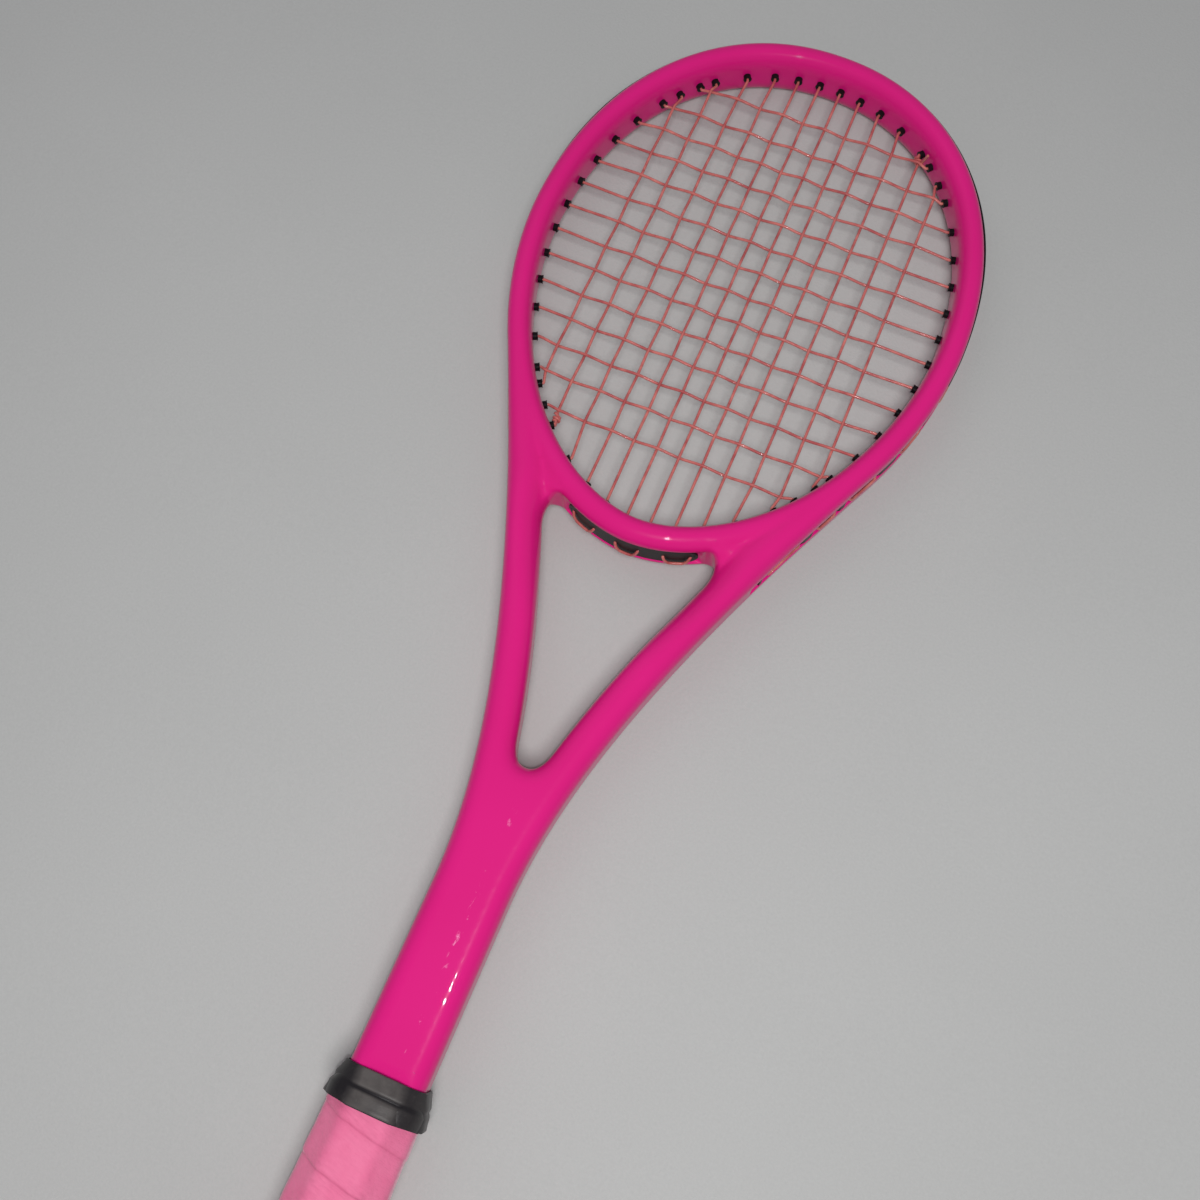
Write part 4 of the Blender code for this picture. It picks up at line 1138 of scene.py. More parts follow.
@dataclass
class MouldedFrame:
    """Hoop, bridge, throat arms, shaft and handle core in one lacquered piece."""

    lines: RacketLines
    edge_reach: float = 5.0 * MM
    arm_reach: float = 7.0 * MM
    edge_drop: float = 5.0 * MM
    fullness: float = 2.05
    face_overlap: float = 0.06
    inner_drop: float = 8.2 * MM
    arm_blend: float = 30 * MM
    arm_blend_share: float = 0.72
    valley_depth: float = 3.3 * MM
    valley_start: float = 12 * MM
    valley_rise: float = 30 * MM
    web_depth: float = 4.6 * MM
    web_reach: float = 15 * MM
    web_start: float = 11 * MM
    web_rise: float = 5 * MM
    web_length: float = 46 * MM
    web_fade: float = 36 * MM
    groove_fade: float = 4.5 * MM
    core_start: float = 7.45 * MM
    channel_margin: float = 0.1 * MM
    edge_steps: int = 8
    inner_step: float = 1.5 * MM

    def drop(self, share: Point) -> Point:
        """Fall of the tube's surface at a share of the way from its crest to its side."""
        inner = 1 - np.clip(share, 0, 1) ** self.fullness
        return self.edge_drop * (1 - inner ** (1 / self.fullness))

    def outline(self) -> tuple[Point, list[float]]:
        """Closed outside of the frame.

        Returns:
            Its points, and the groove's depth at each.
        """
        rim, stop = self.lines.rim, self.groove_end
        spots = list(np.linspace(0, self.lines.arm_start, 110)) + list(
            np.linspace(self.lines.arm_start, rim.length, 70))[1:]
        ends = [stop + self.groove_fade * k / 3 for k in range(4)]
        spots = sorted([s for s in spots if min(abs(s - end) for end in ends) > 0.7 * MM] + ends)
        half = [rim.point(s) for s in spots]
        fade = np.clip((ends[-1] - np.array(spots)) / self.groove_fade, 0, 1)
        depths = list(self.lines.groove_depth * np.sin(fade * math.pi / 2))
        wide, core = self.lines.shaft_width / 2, self.lines.core_width / 2
        for y in np.linspace(rim.points[-1][1], self.lines.face_end, 12)[1:]:
            half.append(np.array((wide, y)))
        half += [np.array((wide, self.lines.core_shoulder)),
                 np.array((core, self.lines.pallet_end)), np.array((core, self.core_start))]
        depths += [0.0] * (len(half) - len(depths))
        left = [point * (-1, 1) for point in reversed(half) if abs(point[0]) > TINY]
        return np.array(half + left), depths + depths[:0:-1]

    def inward(self, points: Point, sign: int) -> Point:
        """Mitred normals of a closed outline.

        Args:
            points: Corners of the outline in order.
            sign: +1 for normals to the left of its run, -1 for the right.

        Returns:
            A normal for each corner.
        """
        before = points - np.roll(points, 1, axis=0)
        after = np.roll(points, -1, axis=0) - points
        before /= np.linalg.norm(before, axis=1)[:, None]
        after /= np.linalg.norm(after, axis=1)[:, None]
        turn = before + after
        turn /= np.linalg.norm(turn, axis=1)[:, None]
        mitre = np.maximum(0.6, (turn * before).sum(axis=1))
        return sign * np.stack((-turn[:, 1], turn[:, 0]), axis=1) / mitre[:, None]

    def heights(self, points: Point) -> Point:
        """Height of the frame's face over each point, tubes rounded and creased where they meet.

        Args:
            points: Places in the racket's plane.

        Returns:
            Heights above the plane of the strings.
        """
        lines, y = self.lines, points[:, 1]
        straight = [(lines.shaft_width / 2, level)
                    for level in np.arange(lines.shaft_straight_end, 0.1, -2 * MM)[1:]]
        right = np.concatenate((lines.rim.points, straight))
        from_rim = away_from(points, np.concatenate((right[::-1] * (-1, 1), right)))
        opening = lines.even_opening(600)
        from_opening = away_from(points, np.concatenate((opening, opening[:1])))
        half = np.array(lines.throat_half())
        from_throat = away_from(points, np.concatenate((half[::-1] * (-1, 1), half)))
        bridge, crotch = half[0][1], half[-1][1]
        blend_from = lines.head_centre - lines.opening_bottom * self.arm_blend_share
        low = np.clip((blend_from - y) / self.arm_blend, 0, 1)
        reach = self.edge_reach + (self.arm_reach - self.edge_reach) * low
        past_tube = np.clip((from_opening - self.web_start) / self.web_rise, 0, 1)
        deeper = reach / self.edge_reach
        inner = 1 + (self.inner_drop / self.edge_drop - 1) * (1 - low)
        edges = np.maximum.reduce([
            self.drop(1 - from_rim / reach) * deeper,
            self.drop(1 - from_opening / self.edge_reach) * inner,
            self.drop(1 - from_throat / reach) * (1 + (deeper - 1) * past_tube)])
        past_hoop = from_opening / (lines.hoop_width / 2) - 1
        past_arm = from_rim / self.arm_reach - 1
        valley = np.minimum(self.drop(past_hoop), self.drop(past_arm))
        valley = self.valley_depth * (1 - np.exp(-valley / self.valley_depth))
        valley *= np.clip((y - crotch - self.valley_start) / self.valley_rise, 0, 1)
        web = self.web_depth * np.clip(1 - from_throat / self.web_reach, 0, 1) ** 2
        web *= smooth_step(past_tube) * smooth_step((y - bridge + self.web_length) / self.web_fade)
        full = lines.beam_height / 2 - np.maximum(edges, valley) - web
        return full * np.interp(y, (lines.pallet_end, lines.core_shoulder, lines.face_end),
                                (lines.core_height / lines.beam_height, 0.985, 1.0))

    def wall_rows(self, channel: float, slope: float) -> list[tuple[float, float, float]]:
        """Rows of a wall from its face down to the middle.

        Args:
            channel: Height of the channel in the wall, 0 for none.
            slope: Fall of the channel's sides on the way in.

        Returns:
            For each row its inset, its height (0 for the face's) and its share of the channel.
        """
        rows = []
        for angle in np.linspace(0, math.pi / 2, self.edge_steps + 1)[1:]:
            share = 1 - math.sin(angle) ** (2 / self.fullness)
            rows.append((self.face_inset() * share, 0.0, 0.0))
        if channel:
            rows += [(0.0, channel / 2, 0.0), (0.0, channel / 2 - slope * 0.5, 0.75),
                     (0.0, channel / 2 - slope, 1.0)]
        return rows

    def face_inset(self) -> float:
        """Inset at which the walls end and the face begins."""
        return self.edge_reach * (1 - self.face_overlap)

    def build(self, holes: Holes) -> None:
        """Make and place the frame.

        Args:
            holes: The string holes.
        """
        lines = self.lines
        last = max(h.along for h in holes.values() if h.run is Run.RIM)
        self.groove_end = last + lines.groove_past
        outline, depths = self.outline()
        opening = lines.even_opening(220)
        half = lines.throat_half()
        throat = np.array(half + [p * (-1, 1) for p in reversed(half) if abs(p[0]) > TINY])
        lowest = lines.head_centre - lines.opening_bottom - lines.bridge_width
        recess = [lines.recess_depth if abs(x) < lines.recess_half + TINY and y > lowest - TINY
                  else 0.0 for x, y in throat]
        walls = ((outline, self.inward(outline, -1), lines.groove_height, depths),
                 (opening, self.inward(opening, -1), 0.0, [0.0] * len(opening)),
                 (throat, self.inward(throat, 1), lines.recess_height, recess))
        corners: list[Corner] = []
        faces: list[tuple[int, ...]] = []
        rims = []
        for points, normals, channel, deep in walls:
            levels = self.wall(points, normals, channel, np.array(deep))
            size, start = len(points), len(corners)
            both = levels + [(spots, -z) for spots, z in reversed(levels)]
            for spots, z in both:
                corners += [(float(x), float(y), float(h)) for (x, y), h in zip(spots, z)]
            for k in range(len(both) - 1):
                faces += band(start + k * size, start + (k + 1) * size, size)
            rims.append((levels[0][0], start, start + (len(both) - 1) * size))
        self.fill_faces(rims, corners, faces)
        mesh = cleaned(corners, faces)
        place("moulded_frame", mesh, Lacquer().build(), replaced=["frame"], crease=50)

    def wall(self, points: Point, normals: Point, channel: float,
             deep: Point) -> list[tuple[Point, Point]]:
        """Front half of one wall of the frame.

        Args:
            points: Corners of its outline.
            normals: Normals there, into the frame.
            channel: Height of the channel in the wall, 0 for none.
            deep: Depth of the channel at each corner.

        Returns:
            Places and heights of each row, the face's rim first.
        """
        rim = points + normals * self.face_inset()
        levels = [(rim, self.heights(rim))]
        for inset, height, floor in self.wall_rows(channel, self.lines.groove_slope):
            spots = points + normals * (inset + deep * floor)[:, None]
            if height:
                room = (self.heights(points) - self.channel_margin) / (channel / 2)
                levels.append((spots, height * np.minimum(1.0, room)))
            else:
                levels.append((spots, self.heights(spots)))
        return levels

    def fill_faces(self, rims: list[tuple[Point, int, int]], corners: list[Corner],
                   faces: list[tuple[int, ...]]) -> None:
        """Fill the front and back faces between the walls.

        Args:
            rims: For each wall, the outline of its face and the first corner of it on each side.
            corners: Corners so far, which grow.
            faces: Faces so far, which grow.
        """
        outer, opening, throat = (rim[0] for rim in rims)
        border = np.concatenate((outer, opening, throat))
        points = self.face_grid(outer)
        points = points[inside(points, outer) & ~inside(points, opening) & ~inside(points, throat)]
        points = points[away_from(points, border) > self.inner_step * 0.6]
        start, edges = 0, []
        for rim in (outer, opening, throat):
            edges += [(start + i, start + (i + 1) % len(rim)) for i in range(len(rim))]
            start += len(rim)
        everything = np.concatenate((border, points))
        result = geometry.delaunay_2d_cdt([Vector(p) for p in everything], edges, [], 1, 1e-7)
        spots, triangles, origin = np.array([tuple(v) for v in result[0]]), result[2], result[3]
        heights = self.heights(spots)
        centres = spots[np.array(triangles)].mean(axis=1)
        solid = ~inside(centres, opening) & ~inside(centres, throat)
        for sign, side in ((1, 1), (-1, 2)):
            ends = np.concatenate([np.arange(len(rim[0])) + rim[side] for rim in rims])
            index = []
            for k, (spot, height) in enumerate(zip(spots, heights)):
                known = [o for o in origin[k] if o < len(border)]
                if known:
                    index.append(int(ends[known[0]]))
                else:
                    index.append(len(corners))
                    corners.append((float(spot[0]), float(spot[1]), sign * float(height)))
            faces += [tuple(index[v] for v in triangle)
                      for triangle, good in zip(triangles, solid) if good]

    def face_grid(self, outer: Point) -> Point:
        """Staggered points over the box round the face, above the handle core.

        Args:
            outer: Outline of the face.

        Returns:
            The points.
        """
        step = self.inner_step
        low, high = outer.min(axis=0), outer.max(axis=0)
        grid = []
        for row, y in enumerate(np.arange(low[1], high[1], step * 0.866)):
            xs = np.arange(low[0] + (row % 2) * step / 2, high[0], step)
            grid.append(np.stack((xs, np.full(len(xs), y)), axis=1))
        points = np.concatenate(grid)
        return points[points[:, 1] > self.lines.face_end + step]


# ---------------- grommets


@dataclass
class Grommets:
    """Bumper guard and the grommet strips, with the barrels that the strings run through."""

    lines: RacketLines
    holes: Holes
    spans: list[Span]
    guard_crosses: int = 8
    bumper_height: float = 15.2 * MM
    bumper_thickness: float = 1.1 * MM
    bumper_taper: float = 0.55
    bumper_thinned: float = 0.8
    bumper_lowered: float = 2 * MM
    bumper_web: float = 0.45 * MM
    flange: tuple = ((0.0, 0.1 * MM), (0.23, 0.0), (0.5, 0.12 * MM), (0.82, 0.7 * MM),
                     (1.0, 1.5 * MM))
    soft_edge: float = 0.22 * MM
    barrel_radius: float = 1.7 * MM
    bore_radius: float = 1.15 * MM
    lip: float = 0.45 * MM
    sides: int = 16
    end_gap: float = 0.8 * MM
    step: float = 1.25 * MM
    ridge: float = 1.05 * MM
    ridge_start: float = 1.6 * MM
    ridge_rise: float = 1.2 * MM

    def swept(self, edge: Callable, spots: Sequence[Span], profile: list[Span],
              ridged: bool = False) -> bpy.types.Mesh:
        """Strip along an edge of the frame.

        Args:
            edge: Gives point and normal at a place along the edge.
            spots: Places, each with a share of the profile's height.
            profile: Insets and heights of the section's corners.
            ridged: Raise the strip's outside where no string runs over it.

        Returns:
            The strip's mesh.
        """
        rings = []
        for s, share in spots:
            point, normal = edge(s)
            rise = self.raised(s) if ridged else 0.0
            rings.append([(*(point - normal * (inset if inset == profile[0][0] else inset - rise)),
                           height * share) for inset, height in profile])
        return skin(rings)

    def raised(self, s: float) -> float:
        """Height of the strip's ridge at a place, none under the string's loops."""
        away = min(max(low - s, s - high) for low, high in self.spans)
        return self.ridge * min(1.0, max(0.0, (away - self.ridge_start) / self.ridge_rise))

    def bumper_share(self, s: float, stop: float) -> float:
        """Share of the guard's full thickness at a place: whole over the tip, thin at both ends."""
        past = (abs(s) / stop - self.bumper_taper) / (1 - self.bumper_taper)
        return 1.0 - self.bumper_thinned * float(smooth_step(past))

    def bumper_profile(self, share: float) -> list[Span]:
        """Section of the bumper guard: a channel for the loops between two rounded flanges.

        Args:
            share: Share of the full thickness outside the frame.

        Returns:
            Insets and heights of the section's corners.
        """
        lines = self.lines
        floor = lines.groove_depth - lines.clearance
        rim = lines.groove_height / 2 - lines.clearance
        foot = rim - lines.groove_slope
        skirt = (self.bumper_height - (1 - share) * self.bumper_lowered) / 2
        near, thick = -lines.clearance * (0.2 + 0.8 * share), self.bumper_thickness * share
        half = [(floor, foot), (near, rim)]
        half += [(near - thick * out, skirt - down) for out, down in self.flange]
        half += [(near - thick, rim + 0.2 * MM), (near - thick * 0.77, rim - self.bumper_web),
                 (floor - lines.strip_thickness, foot - self.bumper_web)]
        return half + [(inset, -height) for inset, height in reversed(half)]

    def flat_profile(self, depth: float, half: float) -> list[Span]:
        """Section of a flat strip with softened edges.

        Args:
            depth: Depth of the groove that it lies in.
            half: Half of its height.

        Returns:
            Insets and heights of the section's corners.
        """
        bottom, soft = depth - self.lines.clearance, self.soft_edge
        top = bottom - self.lines.strip_thickness
        upper = [(bottom, half), (top + soft, half), (top, half - soft)]
        return [(bottom, -half)] + upper + [(top, soft - half), (top + soft, -half)]

    def barrels(self, name: str, carried: list[Hole], finish: bpy.types.Material) -> bpy.types.Mesh:
        """Barrels of one strip, grown on their holes' points.

        Args:
            name: Name of the mesh.
            carried: Holes whose barrels the strip carries.
            finish: Their material.

        Returns:
            All the barrels as one mesh.
        """
        lines = self.lines
        middles, axes, reaches = [], [], []
        for hole in carried:
            start = hole.wall - hole.axis * lines.barrel_reach
            under = lines.clearance + lines.strip_thickness / 2
            end = hole.floor + hole.axis * under / hole.slant
            middles.append((*((start + end) / 2), 0.0))
            axes.append((*(-hole.axis), 0.0))
            reaches.append(float(np.linalg.norm(end - start)))
        seeds = bpy.data.meshes.new("seeds")
        seeds.from_pydata(middles, [], [])
        seeds.attributes.new("axis", "FLOAT_VECTOR", "POINT").data.foreach_set(
            "vector", np.array(axes, np.float32).ravel())
        seeds.attributes.new("reach", "FLOAT", "POINT").data.foreach_set(
            "value", np.array(reaches, np.float32))
        return barrel_growth().grow(name, seeds, finish, Outer=self.barrel_radius,
                                    Bore=self.bore_radius, Lip=self.lip, Sides=self.sides)

    def build(self) -> None:
        """Make and place the guard and the strips."""
        lines = self.lines
        nylon = Moulded("black_nylon", rgb(16, 14, 16), rgb(38, 36, 38), 0.38, shine=0.16).build()
        last, following = (self.holes["cross", self.guard_crosses + k, "right"] for k in (0, 1))
        stop = (last.along + following.along) / 2
        in_rim = [h for h in self.holes.values() if h.run is Run.RIM]
        start = stop + self.end_gap
        end = max(h.along for h in in_rim) + lines.groove_past - self.end_gap
        rings = []
        for s in np.linspace(-stop, stop, int(2 * stop / self.step)):
            point, normal = lines.rim_at(s)
            rings.append([(*(point - normal * inset), height)
                          for inset, height in self.bumper_profile(self.bumper_share(s, stop))])
        self.strip("bumper_and_grommets", "bumper_guard", skin(rings),
                   [h for h in in_rim if abs(h.along) <= stop], nylon)
        half = lines.groove_height / 2 - lines.groove_slope - lines.clearance
        for side, name in ((-1, "left"), (1, "right")):
            spots = [(side * s, 1.0) for s in
                     np.linspace(start, end, int((end - start) / self.step))]
            mesh = self.swept(lines.rim_at, spots, self.flat_profile(lines.groove_depth, half),
                              True)
            self.strip(f"side_grommets_{name}", f"grommet_strip_{name}", mesh,
                       [h for h in in_rim if h.along * side > stop], nylon)
        half = lines.recess_height / 2 - lines.groove_slope - lines.clearance
        bend = lines.strip_half - half
        ends = [(bend + half * math.cos(a), math.sin(a)) for a in np.linspace(0.12, math.pi / 2, 9)]
        middle = np.linspace(bend, -bend, 26)[1:-1]
        spots = ends + [(x, 1.0) for x in middle] + [(-x, share) for x, share in reversed(ends)]
        self.strip("throat_grommets", "grommet_strip_throat",
                   self.swept(lines.bridge_at, spots, self.flat_profile(lines.recess_depth, half)),
                   [h for h in self.holes.values() if h.run is Run.BRIDGE], nylon)

    def strip(self, name: str, node: str, mesh: bpy.types.Mesh, carried: list[Hole],
              finish: bpy.types.Material) -> None:
        """Place one strip with its barrels in its CAD node's stead.

        Args:
            name: Name of the piece.
            node: The CAD node.
            mesh: The strip.
            carried: Holes whose barrels it carries.
            finish: Material of both.
        """
        barrels = self.barrels(name, carried, finish)
        place(name, joined([mesh, barrels]), finish, replaced=[node])


# ---------------- the string


@dataclass
class StringBed:
    """The one string: 12 mains, 14 crosses, its loops in the grooves and two knots."""

    lines: RacketLines
    holes: Holes
    sides: int = 12
    loop_turn: float = 0.9 * MM
    loop_rise: float = 2.4 * MM
    loop_lift: float = 1.7 * MM
    loop_gap: float = 0.4 * MM
    loop_step: float = 3 * MM
    knot_turns: float = 1.75
    knot_points: int = 28
    knot_share: float = 0.24
    top_tail: Corner = (1.8 * MM, -0.8 * MM, 8.0 * MM)
    bottom_tail: Corner = (-2.4 * MM, 0.7 * MM, 2.2 * MM)
    throat_lift: float = -4.4 * MM
    fine_steps: int = 6
    straight: float = 0.97
    bend_reach: float = 0.8 * MM
    bend_share: float = 0.42

    def __post_init__(self) -> None:
        """Work out the loops' level above the groove's floor, and the string's route."""
        lines = self.lines
        self.spans: list[Span] = []
        self.level = (lines.clearance + lines.strip_thickness + self.loop_gap
                      + lines.string_diameter / 2)
        self.line = self.route()

    def loop(self, first: Hole, last: Hole, z_first: float, z_last: float, lift: float) -> Ring:
        """String outside the frame, from one hole's crest to another's.

        Args:
            first: Hole that the loop comes out of.
            last: Hole that it goes into.
            z_first: Height of the string in the first hole.
            z_last: Height in the last.
            lift: Height of the loop between them, on the rim.

        Returns:
            Its points.
        """
        edge = self.lines.rim_at
        if first.run is Run.BRIDGE:
            edge, lift = self.lines.bridge_at, self.throat_lift
        else:
            self.spans.append((min(first.along, last.along), max(first.along, last.along)))
        depth = first.depth - self.level
        run = 1 if last.along > first.along else -1
        span = abs(last.along - first.along)
        inner = np.linspace(self.loop_rise, span - self.loop_rise,
                            max(2, int(span / self.loop_step) + 1))
        spots = [(self.loop_turn, (z_first + lift) / 2)] + [(s, lift) for s in inner]
        spots.append((span - self.loop_turn, (z_last + lift) / 2))
        points = []
        for s, z in spots:
            point, normal = edge(first.along + run * s)
            points.append((*(point - normal * depth), z))
        return points

    def z_in(self, hole: Hole) -> float:
        """Height of a strand in its hole, low where a knot's tail shares it."""
        return -self.lines.string_offset if hole.tied else 0.0

    def through(self, hole: Hole, z: float) -> Ring:
        """String points from a hole's mouth to just under its crest."""
        crest = hole.floor + hole.axis * (self.level / hole.slant - self.loop_turn)
        return [(*hole.mouth, z), (*crest, z)]

    def knot(self, hole: Hole, crossing: Corner, main_z: float, into: int) -> Ring:
        """Tail of the string, hitched round its anchor main.

        Args:
            hole: Hole that the tail comes out of.
            crossing: First crossing of the anchor main.
            main_z: Height of the anchor main at the hole.
            into: +1 or -1, the way into the bed along the racket.

        Returns:
            Its points, from the hole to the tail's end.
        """
        x, y = hole.mouth
        room = abs(crossing[1] - y)
        drift = (crossing[0] - x) / room
        reach = self.lines.string_diameter + self.lines.weave_gap * 0.4
        points = []
        for turn in np.linspace(0, self.knot_turns, self.knot_points):
            angle = math.pi / 2 + 2 * math.pi * turn
            down = self.knot_share * room + reach * turn
            points.append((x + drift * down + reach * math.cos(angle), y + into * down,
                           main_z + reach * math.sin(angle)))
        tail = self.bottom_tail if into > 0 else self.top_tail
        points.append(tuple(end + part for end, part in zip(points[-1], tail)))
        return points

    def woven(self, kind: Strand, number: int) -> Ring:
        """Crossings of one strand of the bed.

        Args:
            kind: Main or cross.
            number: Number of the strand, from the left or from the tip.

        Returns:
            Its points at the crossings, in order up or to the right.
        """
        lines = self.lines
        inner = lines.barrel_reach + lines.mouth_gap + lines.string_diameter
        points = []
        for i, x in enumerate(lines.main_places(), 1):
            for j, y in enumerate(lines.cross_places(), 1):
                if number != (i if kind is Strand.MAIN else j):
                    continue
                upward = y > lines.head_centre
                reach = lines.widest_below_tip if upward else lines.opening_bottom
                power = lines.top_roundness if upward else lines.bottom_roundness
                share = abs(x) / (lines.opening_half - inner)
                if share ** power + (abs(y - lines.head_centre) / (reach - inner)) ** power < 1:
                    side = 1 if ((i + j) % 2 == 1) == (kind is Strand.MAIN) else -1
                    points.append((x, y, side * lines.string_offset))
        return sorted(points, key=lambda p: p[1] if kind is Strand.MAIN else p[0])

    def eased(self, points: Ring) -> Ring:
        """A strand with its over-and-under eased.

        Args:
            points: Its points at the crossings and the mouths.

        Returns:
            The same points with more between them.
        """
        fine = []
        for a, b in zip(points, points[1:]):
            for t in np.arange(self.fine_steps) / self.fine_steps:
                bend = (1 - math.cos(math.pi * t)) / 2
                fine.append((a[0] + (b[0] - a[0]) * t, a[1] + (b[1] - a[1]) * t,
                             a[2] + (b[2] - a[2]) * bend))
        return fine + [points[-1]]

    def strand(self, kind: Strand, number: int, start: Hole, end: Hole, forward: bool) -> Ring:
        """One strand from crest to crest.

        Args:
            kind: Main or cross.
            number: Number of the strand.
            start: Hole that it enters by.
            end: Hole that it leaves by.
            forward: Whether it runs up or to the right.

        Returns:
            Its points.
        """
        entry = self.through(start, self.z_in(start))[::-1]
        leave = self.through(end, self.z_in(end))
        run = self.woven(kind, number)[::1 if forward else -1]
        return entry[:1] + self.eased([entry[1], *run, leave[0]]) + leave[1:]

    def route(self) -> Point:
        """The whole string, knot to knot: up and down the mains, then across from the throat up.

        Returns:
            Its points.
        """
        mains, crosses = len(self.lines.main_places()), self.lines.cross_count
        anchor, last_anchor = self.holes["main", 2, "bottom"], self.holes["main", mains - 1, "top"]
        tied = self.lines.string_offset
        path = self.knot(anchor, self.woven(Strand.MAIN, 2)[0], -tied, 1)[::-1]
        path += self.through(anchor, tied)
        here, here_z = anchor, tied
        for number in range(1, mains + 1):
            up = number % 2 == 1
            start, end = (self.holes["main", number, side]
                          for side in (("bottom", "top") if up else ("top", "bottom")))
            low = here_z < 0 or (number == mains and not end.tied)
            lift = -self.loop_lift if low else self.loop_lift
            path += self.loop(here, start, here_z, self.z_in(start), lift)
            path += self.strand(Strand.MAIN, number, start, end, up)
            here, here_z = end, self.z_in(end)
        for number in range(crosses, 0, -1):
            leftward = (crosses - number) % 2 == 0
            start, end = (self.holes["cross", number, side]
                          for side in (("right", "left") if leftward else ("left", "right")))
            path += self.loop(here, start, here_z, 0.0, -self.loop_lift)
            path += self.strand(Strand.CROSS, number, start, end, not leftward)
            here, here_z = end, 0.0
        path += self.loop(here, last_anchor, 0.0, tied, self.loop_lift)
        path += self.through(last_anchor, tied)[::-1]
        path += self.knot(last_anchor, self.woven(Strand.MAIN, mains - 1)[-1], -tied, -1)
        return self.softened(np.array(path))

    def softened(self, path: Point) -> Point:
        """The route with each sharp turn cut into a short arc.

        Args:
            path: Points of the route.

        Returns:
            The new points.
        """
        points = [path[0]]
        for before, here, after in zip(path, path[1:], path[2:]):
            first, last = here - before, after - here
            turn = np.dot(unit(first), unit(last))
            if turn > self.straight:
                points.append(here)
                continue
            reach = min(self.bend_reach, self.bend_share * np.linalg.norm(first),
                        self.bend_share * np.linalg.norm(last))
            start, end = here - unit(first) * reach, here + unit(last) * reach
            for t in (0.0, 0.25, 0.5, 0.75, 1.0):
                points.append(start * (1 - t) ** 2 + here * 2 * t * (1 - t) + end * t ** 2)
        points.append(path[-1])
        return np.array(points)

    def build(self) -> None:
        """Make and place the string."""
        route = self.line
        line = bpy.data.meshes.new("route")
        line.from_pydata(route.tolist(), [(k, k + 1) for k in range(len(route) - 1)], [])
        coat = StringCoat().build()
        mesh = tube_growth().grow("string_bed", line, coat, Radius=self.lines.string_diameter / 2,
                                  Sides=self.sides)
        place("string_bed", mesh, coat, replaced=["string"], crease=80)
        lengths = np.linalg.norm(np.diff(route, axis=0), axis=1)
        log.info("string length %.2f m", float(lengths.sum()))


# ---------------- handle


